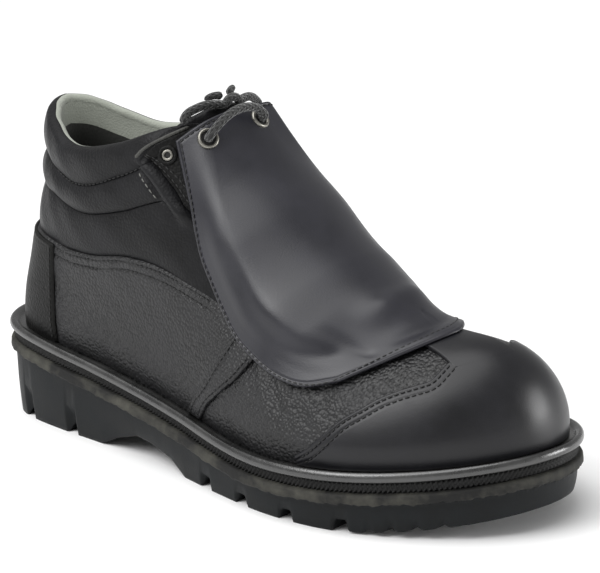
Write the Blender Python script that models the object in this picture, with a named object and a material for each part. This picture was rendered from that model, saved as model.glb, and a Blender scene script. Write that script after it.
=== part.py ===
# Metatarsal guard safety boot, for the right foot. Metres, +X toe, -Y outer side, +Z up, floor at z = 0.
import bpy
import bmesh
import numpy as np
from mathutils import Matrix, Vector

# Named sizes
LENGTH = 0.302          # sole, heel to toe
BALL_WIDTH = 0.115      # sole, at the ball
HEIGHT = 0.146          # collar at the back, above the floor
TOE_SPRING = 0.012      # rise of the sole's underside at the toe tip
FOOT_DEPTH = 0.0040     # foot of the upper below the crest of the bead
WALL = 0.0022           # upper leather with its lining
OVERLAY = 0.0012        # leather laid over the upper
LAID = 0.0005           # bedding under that leather
LACE = 0.0038           # lace, diameter
UPPER_INSET = 0.0072    # sole rim to the foot of the upper
LIP_TURN = 0.09         # share of length by which the guard's lip turns back towards the inner side
UPPER_COLUMNS = 58      # columns round the upper

# Outline of the sole. Columns: share of length, half width factor and centre line as shares of ball width
OUTLINE = np.array([
    (0.000, 0.696, 0.040), (0.080, 0.536, 0.046), (0.200, 0.422, 0.040), (0.350, 0.357, -0.005),
    (0.450, 0.362, -0.033), (0.550, 0.413, -0.044), (0.650, 0.493, -0.030), (0.750, 0.568, 0.002),
    (0.850, 0.630, 0.040), (1.000, 0.670, 0.069)])
# Crest of the welt bead. Columns: share of length, share of height
BEAD = np.array([
    (0.000, 0.308), (0.250, 0.255), (0.450, 0.207), (0.600, 0.171), (0.740, 0.175), (0.880, 0.203),
    (1.000, 0.240)])
# Underside of the sole between heel and forefoot. Columns: share of length, share of height
ARCH = np.array([
    (0.000, 0.000), (0.262, 0.000), (0.300, 0.038), (0.345, 0.066), (0.380, 0.060), (0.425, 0.040),
    (0.460, 0.000), (1.000, 0.000)])
# Ridge line of the instep and toe. Columns: share of length, share of height, roundness of the arch below it
RIDGE = np.array([
    (0.000, 2.877, 6.0), (0.199, 2.055, 6.0), (0.348, 1.452, 6.0), (0.397, 1.192, 6.0), (0.437, 1.034, 5.6),
    (0.457, 0.973, 5.4), (0.487, 0.897, 5.1), (0.523, 0.818, 4.6), (0.563, 0.743, 4.0), (0.613, 0.661, 3.4),
    (0.662, 0.599, 2.9), (0.712, 0.555, 2.6), (0.762, 0.523, 2.6), (0.811, 0.508, 2.7), (0.868, 0.502, 2.7),
    (1.000, 0.502, 2.6)])
# Back of the heel. Columns: share of height, share of length
BACK = np.array([
    (0.308, 0.036), (0.411, 0.043), (0.514, 0.056), (0.616, 0.067), (0.719, 0.077), (0.822, 0.086),
    (0.925, 0.092), (1.000, 0.096), (1.164, 0.104)])
# Collar section. Columns: share of its length, half width factor as a share of ball width
COLLAR = np.array([
    (0.000, 0.390), (0.050, 0.400), (0.100, 0.392), (0.200, 0.374), (0.310, 0.335), (0.450, 0.313),
    (0.700, 0.313), (1.000, 0.313)])
# Top edge of the upper: collar rim, then the edge of the throat. Columns: turn round the foot from the heel,
# share of length, share of ball width from the centre line, share of height
TOP = np.array([
    (0.000, 0.102, 0.000, 1.010), (0.050, 0.113, 0.113, 0.995), (0.100, 0.150, 0.209, 0.955),
    (0.150, 0.222, 0.261, 0.915), (0.200, 0.321, 0.278, 0.952), (0.250, 0.414, 0.252, 1.021),
    (0.280, 0.464, 0.217, 1.045), (0.300, 0.493, 0.191, 1.000), (0.350, 0.563, 0.157, 0.856),
    (0.400, 0.623, 0.122, 0.712), (0.450, 0.662, 0.070, 0.637), (0.500, 0.679, 0.000, 0.589)])
# Way out from the chord at the top edge. Columns: turn, x, y, z
OUTWARD = np.array([
    (0.000, -1.00, 0.00, 0.00), (0.100, -0.60, 0.80, 0.00), (0.200, 0.00, 1.00, 0.00), (0.250, 0.15, 0.97, 0.15),
    (0.300, 0.35, 0.75, 0.55), (0.350, 0.45, 0.50, 0.75), (0.400, 0.50, 0.30, 0.80), (0.500, 0.50, 0.00, 0.86)])


def curve(table, column, x):
    """Smooth curve through a table: cubic pieces with the slopes of the neighbours."""
    xs = table[:, 0]
    ys = table[:, column]
    slopes = np.gradient(ys, xs)
    x = np.clip(x, xs[0], xs[-1])
    i = np.clip(np.searchsorted(xs, x) - 1, 0, len(xs) - 2)
    h = xs[i + 1] - xs[i]
    t = (x - xs[i]) / h
    a = (1 + 2 * t) * (1 - t) ** 2 * ys[i] + t * (1 - t) ** 2 * h * slopes[i]
    b = t * t * (3 - 2 * t) * ys[i + 1] + t * t * (t - 1) * h * slopes[i + 1]
    return a + b


def smooth(x, low, high):
    t = np.clip((x - low) / (high - low), 0, 1)
    return t * t * (3 - 2 * t)


def share_of(x):
    return x / LENGTH + 0.5


def foot_inset(c):
    """How far the foot of the upper stands in from the rim: more at the heel and toe."""
    return UPPER_INSET + 0.0030 * (1 - smooth(c, 0.0, 0.2)) + 0.0022 * smooth(c, 0.8, 1.0)


def bead_height(x):
    return HEIGHT * curve(BEAD, 1, share_of(x))


def floor_height(x):
    s = share_of(x)
    spring = TOE_SPRING * (np.clip(s - 0.72, 0, 1) / 0.28) ** 1.8
    return HEIGHT * np.interp(s, ARCH[:, 0], ARCH[:, 1]) + spring


def outline(u, inset):
    """Point on the sole's outline, moved in by inset. u turns from the heel over the outer side to the toe."""
    c = (1 - np.cos(2 * np.pi * u)) / 2
    x = -LENGTH / 2 + inset + c * (LENGTH - 2 * inset)
    factor = BALL_WIDTH * curve(OUTLINE, 1, c) - inset * (1 + 0.4 * abs(2 * c - 1))
    y = BALL_WIDTH * curve(OUTLINE, 2, c) - np.sin(2 * np.pi * u) * factor
    return x, y


def half_width(x, z):
    """Squared half width of the upper at x and z, and its centre line; negative outside the side view."""
    base = bead_height(x) - FOOT_DEPTH
    h = np.maximum(z - base, 0)
    ridge = HEIGHT * curve(RIDGE, 1, share_of(x))
    nose = np.clip((share_of(x) - 0.861) / 0.1132, 0, 1.2) ** 2.6
    ridge = base + (ridge - base) * np.sign(1 - nose) * abs(1 - nose) ** 0.4545
    ridge = np.maximum(ridge, base + 1e-5)
    arch = 1 - np.minimum(h / (ridge - base), 3) ** curve(RIDGE, 2, share_of(x))
    back = LENGTH * (curve(BACK, 1, z / HEIGHT) - 0.5)
    front = LENGTH / 2 - 0.0078
    c = (x - back) / (front - back)
    inset = UPPER_INSET - 0.0020 * smooth(h, 0, 0.015)
    low = BALL_WIDTH * curve(OUTLINE, 1, c) - inset * (1 + 0.4 * abs(2 * c - 1))
    high = BALL_WIDTH * curve(COLLAR, 1, c)
    lift = smooth(h, 0.007, 0.088)
    factor = low + (high - low) * lift
    centre = BALL_WIDTH * (curve(OUTLINE, 2, c) * (1 - lift) - 0.001 * lift)
    ends = 4 * c * (1 - c)
    return np.where((ends > 0) & (arch > 0), ends * factor ** 2 * arch, -1.0), centre


def snap(start, way):
    """Points of the upper's surface met from start along way, and the outward normals there."""
    low = np.full(start.shape[:-1], -0.014)
    high = np.full(start.shape[:-1], 0.055)
    for _ in range(26):
        middle = (low + high) / 2
        p = start + middle[..., None] * way
        g, centre = half_width(p[..., 0], p[..., 2])
        inside = g > (p[..., 1] - centre) ** 2
        low = np.where(inside, middle, low)
        high = np.where(inside, high, middle)
    p = start + low[..., None] * way
    normal = np.zeros_like(p)
    for axis in range(3):
        value = []
        for step in (-0.0004, 0.0004):
            q = p - 0.0005 * way
            q[..., axis] += step
            g, centre = half_width(q[..., 0], q[..., 2])
            value.append((q[..., 1] - centre) ** 2 - g)
        normal[..., axis] = value[1] - value[0]
    return p, normal / np.linalg.norm(normal, axis=-1, keepdims=True)


def upper_point(u, v):
    """Surface of the upper and its normal: u turns round the foot, v goes from the sole to the top edge."""
    side = np.where(u < 0.5, -1.0, 1.0)
    w = np.minimum(u, 1 - u)
    inset = foot_inset((1 - np.cos(2 * np.pi * u)) / 2)
    bx, by = outline(u, inset)
    base = np.stack([bx, by, bead_height(bx) - FOOT_DEPTH], -1)
    top = np.stack([
        LENGTH * (curve(TOP, 1, w) - 0.5),
        side * BALL_WIDTH * curve(TOP, 2, w),
        HEIGHT * curve(TOP, 3, w)], -1)
    out = np.stack([curve(OUTWARD, 1, w), side * curve(OUTWARD, 2, w), curve(OUTWARD, 3, w)], -1)
    ax, ay = outline(u - 0.001, inset)
    cx, cy = outline(u + 0.001, inset)
    flat = np.stack([cy - ay, ax - cx, 0 * ax], -1)
    flat /= np.linalg.norm(flat, axis=-1, keepdims=True)
    k = smooth(v, 0.0, 0.55)[..., None]
    way = flat * (1 - k) + out * k
    way /= np.linalg.norm(way, axis=-1, keepdims=True)
    return snap(base + v[..., None] * (top - base), way)


# Where the upper's seams and grooves run. Columns: turn, then shares of the way from sole to top edge for the
# quarter's top seam, the lower groove and the upper groove, and how full the padded tiers are
TIERS = np.array([
    (0.000, 0.475, 0.665, 0.800, 1.0), (0.070, 0.475, 0.685, 0.820, 1.0), (0.130, 0.505, 0.715, 0.835, 1.0),
    (0.170, 0.525, 0.710, 0.835, 1.0), (0.200, 0.545, 0.730, 0.865, 1.0), (0.224, 0.525, 0.750, 0.885, 1.0),
    (0.240, 0.500, 0.755, 0.900, 0.2), (0.255, 0.475, 0.750, 0.900, 0.0), (0.280, 0.430, 0.720, 0.880, 0.0),
    (0.320, 0.380, 0.660, 0.840, 0.0), (0.400, 0.350, 0.620, 0.810, 0.0), (0.500, 0.340, 0.620, 0.810, 0.0)])
# Seam of the toe cap with its lobe. Columns: turn, share of the way up
CAP_SEAM = np.array([
    (0.3220, 0.060), (0.3320, 0.095), (0.3440, 0.145), (0.3580, 0.205), (0.3740, 0.255), (0.3880, 0.295),
    (0.4040, 0.325), (0.4160, 0.338), (0.4280, 0.350), (0.4380, 0.375), (0.4460, 0.395), (0.4475, 0.600),
    (0.4600, 0.615), (0.4730, 0.622), (0.4870, 0.625), (0.5000, 0.625)])
# Edges of the band over the joint of vamp and quarter. Columns: turn and share at the rear edge, then the front
BAND = np.array([
    (0.239, 0.036, 0.250, 0.036), (0.250, 0.110, 0.262, 0.115), (0.260, 0.170, 0.272, 0.165),
    (0.274, 0.270, 0.286, 0.230), (0.284, 0.340, 0.298, 0.300), (0.292, 0.400, 0.308, 0.360)])
# Edges of the eyestay. Columns: turn and share at the rear edge, then at the throat
EYESTAY = np.array([
    (0.229, 0.925, 0.238, 0.952), (0.240, 0.860, 0.252, 0.972), (0.250, 0.790, 0.264, 0.985),
    (0.260, 0.715, 0.280, 0.985), (0.276, 0.690, 0.305, 0.985), (0.300, 0.680, 0.340, 0.985),
    (0.345, 0.700, 0.375, 0.985), (0.390, 0.760, 0.405, 0.985)])
# Edge of the guard. Columns: share of the way down, share of length, half width as a share of ball width,
# share of height, rise of the crest line from there in degrees, reach of the inner side as a share of the outer
GUARD_EDGE = np.array([
    (0.00, 0.419, 0.237, 0.972, 51.0, 0.66), (0.10, 0.436, 0.250, 0.895, 51.0, 0.74),
    (0.20, 0.459, 0.267, 0.794, 51.0, 0.84), (0.30, 0.474, 0.282, 0.721, 51.0, 0.93),
    (0.40, 0.489, 0.294, 0.656, 51.0, 1.00), (0.50, 0.511, 0.307, 0.591, 51.0, 1.00),
    (0.60, 0.535, 0.324, 0.528, 51.0, 1.00), (0.68, 0.563, 0.346, 0.468, 51.0, 1.00),
    (0.76, 0.592, 0.363, 0.430, 51.0, 1.00), (0.82, 0.624, 0.376, 0.400, 51.0, 1.00),
    (0.88, 0.661, 0.382, 0.376, 49.0, 1.00), (0.94, 0.699, 0.371, 0.370, 41.0, 1.00),
    (1.00, 0.742, 0.365, 0.391, 28.5, 0.80)])
# Edge of the tongue, same columns
TONGUE_EDGE = np.array([
    (0.00, 0.400, 0.215, 0.985, 51.0, 1.0), (0.25, 0.450, 0.205, 0.877, 51.0, 1.0),
    (0.50, 0.505, 0.190, 0.740, 51.0, 1.0), (0.75, 0.570, 0.170, 0.603, 51.0, 1.0),
    (1.00, 0.668, 0.140, 0.466, 51.0, 1.0)])
# Stations round half the sole, as shares of length: close together where the edge turns or steps
STATIONS = (
    0, 0.0025, 0.01, 0.025, 0.05, 0.09, 0.14, 0.20, 0.262, 0.30, 0.345, 0.38, 0.425, 0.46, 0.52, 0.58, 0.64,
    0.70, 0.755, 0.81, 0.86, 0.905, 0.945, 0.972, 0.99, 0.9975, 1)
# Welt in section, bottom inside first. Columns: share of the way from rim to upper, height above its crest
WELT = (
    (1.00, -0.0039), (1.00, -0.0008), (0.62, -0.0010), (0.50, -0.0006), (0.36, -0.0001), (0.24, 0.0000),
    (0.10, -0.0006), (0.02, -0.0018), (0.06, -0.0032), (0.20, -0.0039))
# Outsole's wall from the top down. Columns: inset, depth below the crest of the bead
OUTSOLE_WALL = (
    (0.0022, 0.0088), (0.0006, 0.0098), (0.0004, 0.0125), (0.0016, 0.0138), (0.0026, 0.0146))
# Grooves between the lugs: share of length, width, depth
LUG_GROOVES = (
    (0.075, 0.005, 0.004), (0.185, 0.005, 0.004), (0.515, 0.005, 0.004), (0.600, 0.005, 0.004),
    (0.690, 0.005, 0.004), (0.780, 0.005, 0.003))
# Knot, loops and ends of the lace. Points: shares of length, ball width and height
CORDS = {
    "lace_knot": ((0.438, -0.028, 1.046), (0.440, -0.010, 1.074), (0.440, 0.032, 1.074), (0.438, 0.052, 1.046)),
    "lace_loop_outer": ((0.434, -0.060, 1.061), (0.431, -0.106, 1.066), (0.427, -0.148, 1.060),
                        (0.423, -0.180, 1.050), (0.423, -0.202, 1.037), (0.425, -0.212, 1.024)),
    "lace_loop_inner": ((0.434, 0.084, 1.061), (0.431, 0.120, 1.061), (0.427, 0.154, 1.054),
                        (0.423, 0.180, 1.044), (0.422, 0.198, 1.032), (0.424, 0.206, 1.020)),
    "lace_end_outer": ((0.429, -0.010, 1.079), (0.419, -0.034, 1.080), (0.411, -0.060, 1.071)),
    "lace_end_inner": ((0.426, 0.030, 1.078), (0.423, 0.054, 1.090), (0.420, 0.076, 1.094)),
}
# Eyelets on the outer side. Columns: turn, share of the way up, stand-off from the eyestay
EYELETS = ((0.246, 0.905, 0.0004), (0.266, 0.850, 0.0004), (0.286, 0.850, 0.0006))


def padding(u, v):
    """How far the padded collar tiers and the quarter stand out from the plain surface."""
    w = np.minimum(u, 1 - u)
    low, middle, high, full = (curve(TIERS, k, w) for k in (1, 2, 3, 4))
    full = np.clip(full, 0, 1)
    out = 0.0004 * np.where(v < low, 1.0, 0.0) * (1 - smooth(w, 0.27, 0.30))
    for a, b, rise in ((low, middle, 0.0020), (middle, high, 0.0022), (high, 1.0 + 0 * high, 0.0024)):
        t = np.clip((v - a) / (b - a), 0, 1)
        inside = (v >= a) & (v <= b)
        out = out + np.where(inside, full * (rise * np.sin(np.pi * t) ** 0.6 - 0.0012), 0)
    return out


def outer_skin(u, v, lift=0.0):
    p, n = upper_point(u, v)
    return p + n * (padding(u, v) + lift)[..., None]


def foot_share(w):
    """Share of the way up where leather laid over the upper ends, just clear of the welt."""
    c = (1 - np.cos(2 * np.pi * w)) / 2
    foot = bead_height(outline(w, foot_inset(c))[0]) - FOOT_DEPTH
    return (FOOT_DEPTH - 0.0004) / (HEIGHT * curve(TOP, 3, w) - foot)


def wrap(table, a, b):
    """Surface of the upper under a flap that lies over the instep: a goes across, b down the flap."""
    half = BALL_WIDTH * curve(table, 2, b)
    rise = np.radians(curve(table, 4, b))
    back = LIP_TURN * np.clip(a, 0, 1) * b ** 6
    a = np.where(a > 0, a * np.minimum(curve(table, 5, b), 1), a)
    turn = a * np.pi / 2
    start = np.stack([
        LENGTH * (curve(table, 1, b) - 0.5 - back), 0.5 * a * half, HEIGHT * curve(table, 3, b)], -1)
    way = np.stack([np.cos(turn) * np.cos(rise), np.sin(turn), np.cos(turn) * np.sin(rise)], -1)
    return snap(start, way)


def guard_lift(a, b):
    """How far the guard's outer and inner faces stand off the upper."""
    middle = smooth(1 - abs(a), 0.0, 0.42)
    base = 0.0021 + 0.0007 * (1 - smooth(b, 0.45, 0.7)) + middle * 0.0056 * (1 - smooth(b, 0.74, 0.985))
    base = base + 0.0035 * smooth(a, 0.3, 1.0) * (1 - smooth(b, 0.0, 0.35))
    insert = smooth(1 - abs(a), 0.08, 0.26) * smooth(b, 0.15, 0.5) * (1 - smooth(b, 0.87, 0.95))
    return base + 0.0014 + 0.0030 * insert, base + 0.0012 * insert


def material(name, colour, rough, metallic=0.0):
    m = bpy.data.materials.new(name)
    m.use_nodes = True
    shader = m.node_tree.nodes["Principled BSDF"]
    shader.inputs["Base Color"].default_value = (*colour, 1)
    shader.inputs["Roughness"].default_value = rough
    shader.inputs["Metallic"].default_value = metallic
    return m


def solid(name, points, faces, finish):
    mesh = bpy.data.meshes.new(name)
    mesh.from_pydata([tuple(p) for p in points], [], faces)
    work = bmesh.new()
    work.from_mesh(mesh)
    bmesh.ops.remove_doubles(work, verts=work.verts, dist=0.00002)
    bmesh.ops.recalc_face_normals(work, faces=work.faces)
    work.to_mesh(mesh)
    work.free()
    mesh.shade_smooth()
    mesh.materials.append(finish)
    piece = bpy.data.objects.new(name, mesh)
    parts.objects.link(piece)
    return piece


def quads(rows, columns, closed, offset=0):
    """Faces of a grid stored row by row; closed joins the last column to the first."""
    faces = []
    for i in range(rows - 1):
        for j in range(columns if closed else columns - 1):
            k = (j + 1) % columns
            faces.append((offset + i * columns + j, offset + i * columns + k,
                          offset + (i + 1) * columns + k, offset + (i + 1) * columns + j))
    return faces


def ring_solid(name, rings, finish, hollow=False):
    """Solid through closed rings of the same number of points. Hollow joins the last ring to the first."""
    rings = np.array(rings)
    count, m = rings.shape[:2]
    faces = quads(count, m, True)
    if hollow:
        faces += [(i, (i + 1) % m, (count - 1) * m + (i + 1) % m, (count - 1) * m + i) for i in range(m)]
    else:
        for base in (0, (count - 1) * m):
            for i in range(m // 2):
                a, b, c, d = base + i, base + i + 1, base + (m - i - 1) % m, base + (m - i) % m
                faces.append(tuple(dict.fromkeys((a, b, c, d))))
    return solid(name, rings.reshape(-1, 3), faces, finish)


def sheet_solid(name, outer, inner, finish):
    """Solid between two grids of the same size, closed round its border."""
    rows, columns = outer.shape[:2]
    n = rows * columns
    faces = quads(rows, columns, False) + quads(rows, columns, False, n)
    border = [j for j in range(columns)] + [i * columns + columns - 1 for i in range(1, rows)]
    border += [(rows - 1) * columns + j for j in range(columns - 2, -1, -1)]
    border += [i * columns for i in range(rows - 2, 0, -1)]
    for i, a in enumerate(border):
        b = border[(i + 1) % len(border)]
        faces.append((a, b, b + n, a + n))
    return solid(name, np.concatenate([outer.reshape(-1, 3), inner.reshape(-1, 3)]), faces, finish)


def tube(name, path, radius, finish, sides=8):
    """Round cord through the points, with flat ends."""
    path = np.array(path)
    along = np.gradient(path, axis=0)
    along /= np.linalg.norm(along, axis=1, keepdims=True)
    side = np.cross(along[0], (0.3, 0.2, 1.0))
    rings = []
    for p, t in zip(path, along):
        side = side - t * np.dot(side, t)
        side /= np.linalg.norm(side)
        other = np.cross(t, side)
        angle = 2 * np.pi * np.arange(sides) / sides
        rings.append(p + radius * (np.cos(angle)[:, None] * side + np.sin(angle)[:, None] * other))
    return ring_solid(name, rings, finish)


def smooth_path(points, count):
    """Cubic curve through the points, by the length of the chords."""
    points = np.array(points)
    steps = np.concatenate([[0], np.cumsum(np.linalg.norm(np.diff(points, axis=0), axis=1))])
    table = np.column_stack([steps, points])
    at = np.linspace(0, steps[-1], count)
    return np.column_stack([curve(table, k, at) for k in (1, 2, 3)])


def eyelet(name, centre, normal, hole, width, height, finish, depth=0.0):
    """Ring round the normal at centre: its foot lies depth below, its crown height above."""
    normal = np.array(normal)
    side = np.cross(normal, (0.0, 1.0, 0.3))
    side /= np.linalg.norm(side)
    other = np.cross(normal, side)
    angle = 2 * np.pi * np.arange(10) / 10
    spoke = np.cos(angle)[:, None] * side + np.sin(angle)[:, None] * other
    section = ((hole, -depth), (hole, height * 0.7), (hole + width * 0.4, height), (hole + width, height * 0.3),
               (hole + width, 0.0), (hole + width * 0.25, 0.0), (hole + width * 0.25, -depth))
    if depth == 0:
        section = section[:5]
    rings = [centre + r * spoke + h * normal for r, h in section]
    return ring_solid(name, rings, finish, hollow=True)


def cut(target, tools):
    for cutter in tools:
        step = target.modifiers.new(cutter.name, "BOOLEAN")
        step.operation = "DIFFERENCE"
        step.solver = "EXACT"
        step.object = cutter


def cutter_box(name, centre, size, turn=0.0):
    mesh = bpy.data.meshes.new(name)
    work = bmesh.new()
    bmesh.ops.create_cube(work, size=1)
    work.to_mesh(mesh)
    work.free()
    mesh.transform(Matrix.Translation(centre) @ Matrix.Rotation(turn, 4, "Z") @ Matrix.Diagonal((*size, 1)))
    box = bpy.data.objects.new(name, mesh)
    box.hide_render = True
    box.display_type = "WIRE"
    cutters.objects.link(box)
    return box


def cutter_rod(name, centre, normal, radius, length):
    mesh = bpy.data.meshes.new(name)
    work = bmesh.new()
    bmesh.ops.create_cone(work, cap_ends=True, segments=12, radius1=radius, radius2=radius, depth=length)
    work.to_mesh(mesh)
    work.free()
    turn = Vector((0, 0, 1)).rotation_difference(Vector(normal)).to_matrix().to_4x4()
    mesh.transform(Matrix.Translation(centre) @ turn)
    rod = bpy.data.objects.new(name, mesh)
    rod.hide_render = True
    rod.display_type = "WIRE"
    cutters.objects.link(rod)
    return rod


# Build
for thing in list(bpy.data.objects):
    bpy.data.objects.remove(thing, do_unlink=True)
parts = bpy.data.collections.new("metatarsal_guard_boot")
cutters = bpy.data.collections.new("cutters")
bpy.context.scene.collection.children.link(parts)
bpy.context.scene.collection.children.link(cutters)
rubber = material("black_rubber", (0.020, 0.020, 0.021), 0.50)
leather = material("black_grain_leather", (0.017, 0.017, 0.018), 0.48)
smooth_leather = material("black_smooth_leather", (0.014, 0.014, 0.016), 0.34)
textile = material("grey_textile", (0.30, 0.31, 0.28), 0.90)
lace = material("black_lace", (0.020, 0.020, 0.020), 0.80)
steel = material("dark_plated_steel", (0.30, 0.30, 0.31), 0.35, 1.0)

# Sole
half_turn = np.arccos(1 - 2 * np.array(STATIONS)) / (2 * np.pi)
turns = np.concatenate([half_turn, 1 - half_turn[-2:0:-1]])


def sole_ring(inset, height):
    x, y = outline(turns, inset)
    return np.stack([x, y, height(x)], -1)


rings = [sole_ring(inset, lambda x, d=depth: bead_height(x) - d) for inset, depth in OUTSOLE_WALL]
rings += [sole_ring(0.0028, lambda x: floor_height(x) + 0.0018), sole_ring(0.0045, floor_height)]
outsole = ring_solid("outsole", rings, rubber)
grooves = []
for i, (at, width, depth) in enumerate(LUG_GROOVES):
    x = LENGTH * (at - 0.5)
    u = float(np.arccos(1 - 2 * at) / (2 * np.pi))
    floor = float(floor_height(np.array(x)))
    for side in (-1, 1):
        edge = float(outline(np.array(u if side < 0 else 1 - u), 0.0)[1])
        centre = (x, edge - side * 0.010, floor + depth / 2 - 0.005)
        grooves.append(cutter_box(f"groove_{i}_{'outer' if side < 0 else 'inner'}", centre,
                                  (width, 0.030, depth + 0.010)))
cut(outsole, grooves)
ring_solid("midsole", [
    sole_ring(0.0034, lambda x: bead_height(x) - 0.0085), sole_ring(0.0030, lambda x: bead_height(x) - 0.0066),
    sole_ring(0.0034, lambda x: bead_height(x) - 0.0043)], rubber)
near_turns = np.minimum(turns, 1 - turns)
rim = sole_ring(0.0, bead_height)
foot = outer_skin(turns, foot_share(near_turns), 0.0009)
rings = []
for share, rise in WELT:
    ring = rim + share * (foot - rim)
    ring[:, 2] = bead_height(ring[:, 0]) + rise
    rings.append(ring)
ring_solid("welt", rings, rubber, hollow=True)
rings = []
for rise in (-0.0039, -0.0009):
    ring = outer_skin(turns, 0 * turns, -WALL - 0.0012)
    ring[:, 2] = bead_height(ring[:, 0]) + rise
    rings.append(ring)
ring_solid("insole", rings, textile)

# Upper: rows follow the seams and grooves
turn = np.arange(UPPER_COLUMNS) / UPPER_COLUMNS
near = np.minimum(turn, 1 - turn)
seam, groove, top_groove = (curve(TIERS, k, near) for k in (1, 2, 3))
rows = [seam * k / 8 for k in range(8)] + [seam - 0.004, seam + 0.010]
rows += [seam + (groove - seam) * k / 4 for k in (1, 2, 3)] + [groove]
rows += [groove + (top_groove - groove) * k / 3 for k in (1, 2)] + [top_groove]
rows += [top_groove + (1 - top_groove) * k for k in (0.22, 0.5, 0.78, 1.0)]
rows = np.array(rows)
outer = outer_skin(turn[None, :] + 0 * rows, rows)
inner_rows = np.array([seam * 0, seam * 0.3, seam * 0.6, seam, (seam + groove) / 2, groove,
                       (groove + top_groove) / 2, top_groove, (top_groove + 1) / 2, seam * 0 + 1])
inner = outer_skin(turn[None, :] + 0 * inner_rows, inner_rows, -WALL)
outer[0, :, 2] = inner[0, :, 2] = bead_height(outer[0, :, 0]) - FOOT_DEPTH
upper = ring_solid("upper", np.concatenate([outer, inner[::-1]]), leather, hollow=True)


def overlay(name, low, high, count_across, lift, thickness, finish, mirror=False):
    """Leather laid over the upper between two lines given as arrays of turn and share."""
    t = np.linspace(0, 1, count_across)[:, None]
    u = low[:, 0] * (1 - t) + high[:, 0] * t
    v = low[:, 1] * (1 - t) + high[:, 1] * t
    if mirror:
        u = 1 - u
    return sheet_solid(name, outer_skin(u, v, lift + thickness), outer_skin(u, v, lift), finish)


cap_high = np.concatenate([CAP_SEAM, np.column_stack([1 - CAP_SEAM[-2::-1, 0], CAP_SEAM[-2::-1, 1]])])
cap_turn = cap_high[:, 0]
main = np.minimum(cap_high[:, 1], 0.395)
low = foot_share(np.minimum(cap_turn, 1 - cap_turn))
v = np.array([low + (main - low) * k / 7 for k in range(8)]
             + [main + (cap_high[:, 1] - main) * k / 3 for k in (1, 2, 3)])
u = cap_turn + 0 * v
sheet_solid("toe_cap", outer_skin(u, v, LAID + OVERLAY), outer_skin(u, v, LAID), smooth_leather)
strip_turns = np.arange(-7, 8) / UPPER_COLUMNS % 1
strip_near = np.minimum(strip_turns, 1 - strip_turns)
strip_high = curve(TIERS, 1, strip_near)
v = np.array([foot_share(strip_near)] + [strip_high * k / 8 for k in (2, 4, 6)] + [strip_high - 0.006])
u = strip_turns + 0 * v
sheet_solid("back_strip", outer_skin(u, v, LAID + OVERLAY), outer_skin(u, v, LAID), smooth_leather)


def refine(table, count):
    at = np.linspace(0, 1, count)
    keyed = np.column_stack([np.linspace(0, 1, len(table)), table])
    return np.column_stack([curve(keyed, k + 1, at) for k in range(table.shape[1])])


for side, mirror in (("outer", False), ("inner", True)):
    edges = refine(BAND, 8)
    overlay(f"band_{side}", edges[:, :2], edges[:, 2:], 3, LAID, OVERLAY, leather, mirror)
    edges = refine(EYESTAY, 14)
    overlay(f"eyestay_{side}", edges[:, :2], edges[:, 2:], 5, 2 * LAID, OVERLAY, smooth_leather, mirror)

# Tongue
a, b = np.meshgrid(np.linspace(-1, 1, 9), np.linspace(0, 1, 9))
p, n = wrap(TONGUE_EDGE, a, b)
lift = -0.0039 + 0.0031 * smooth(0.42 - abs(a), 0, 0.2) * (1 - smooth(b, 0.72, 0.9))
sheet_solid("tongue", p + n * lift[..., None], p + n * (lift - 0.0035)[..., None], smooth_leather)

# Metatarsal guard
across = np.array([-1, -0.93, -0.86, -0.78, -0.66, -0.5, -0.33, -0.16, 0, 0.16, 0.33, 0.5, 0.66, 0.78, 0.86, 0.93, 1])
down = np.array([0, 0.06, 0.12, 0.2, 0.3, 0.4, 0.5, 0.6, 0.68, 0.76, 0.82, 0.87, 0.905, 0.94, 0.97, 1])
a, b = np.meshgrid(across, down)
p, n = wrap(GUARD_EDGE, a, b)
high, low = guard_lift(a, b)
guard = sheet_solid("met_guard", p + n * high[..., None], p + n * low[..., None], smooth_leather)


def guard_point(a, b, lift=0.0):
    a, b = np.array(a, float), np.array(b, float)
    p, n = wrap(GUARD_EDGE, a, b)
    return p + n * (guard_lift(a, b)[0] + lift)[..., None], n


holes = []
for side, at in (("outer", -0.62), ("inner", 0.18)):
    p, n = guard_point([at], [0.070])
    holes.append(cutter_rod(f"guard_hole_{side}", p[0], n[0], 0.0036, 0.020))
    eyelet(f"guard_eyelet_{side}", p[0] + n[0] * 0.0003, n[0], 0.0024, 0.0032, 0.0012, steel, 0.0026)
cut(guard, holes)
for i, (u, v, seat) in enumerate(EYELETS):
    for side in ("outer", "inner"):
        q = u if side == "outer" else 1 - u
        p, n = upper_point(np.array([q]), np.array([v]))
        p = p + n * (padding(np.array([q]), np.array([v])) + 2 * LAID + OVERLAY + seat)[:, None]
        eyelet(f"eyelet_{side}_{i + 1}", p[0], n[0], 0.0022, 0.0022, 0.0009, steel)


# Laces: crossings over the tongue, the bar through the guard, and the knot behind the guard's top edge
def lace_line(a0, b0, a1, b1, lift, count):
    t = np.linspace(0, 1, count)
    p, n = wrap(GUARD_EDGE, a0 + (a1 - a0) * t, b0 + (b1 - b0) * t)
    return p + n * lift


levels = (0.09, 0.21, 0.33)
strands = []
for i in range(2):
    for sign in (-1, 1):
        line = lace_line(0.23 * sign, levels[i], -0.23 * sign, levels[i + 1], 0.0057, 6)
        strands.append(tube("lace_crossings" if not strands else f"strand_{i}_{sign}", line, LACE / 2, lace, 6))
line = lace_line(-0.23, levels[2], 0.23, levels[2], 0.0057, 6)
strands.append(tube("strand_bar", line, LACE / 2, lace, 6))
for strand in strands[1:]:
    step = strands[0].modifiers.new(strand.name, "BOOLEAN")
    step.operation = "UNION"
    step.solver = "EXACT"
    step.object = strand
    parts.objects.unlink(strand)
    cutters.objects.link(strand)
    strand.hide_render = True
    strand.display_type = "WIRE"

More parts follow.
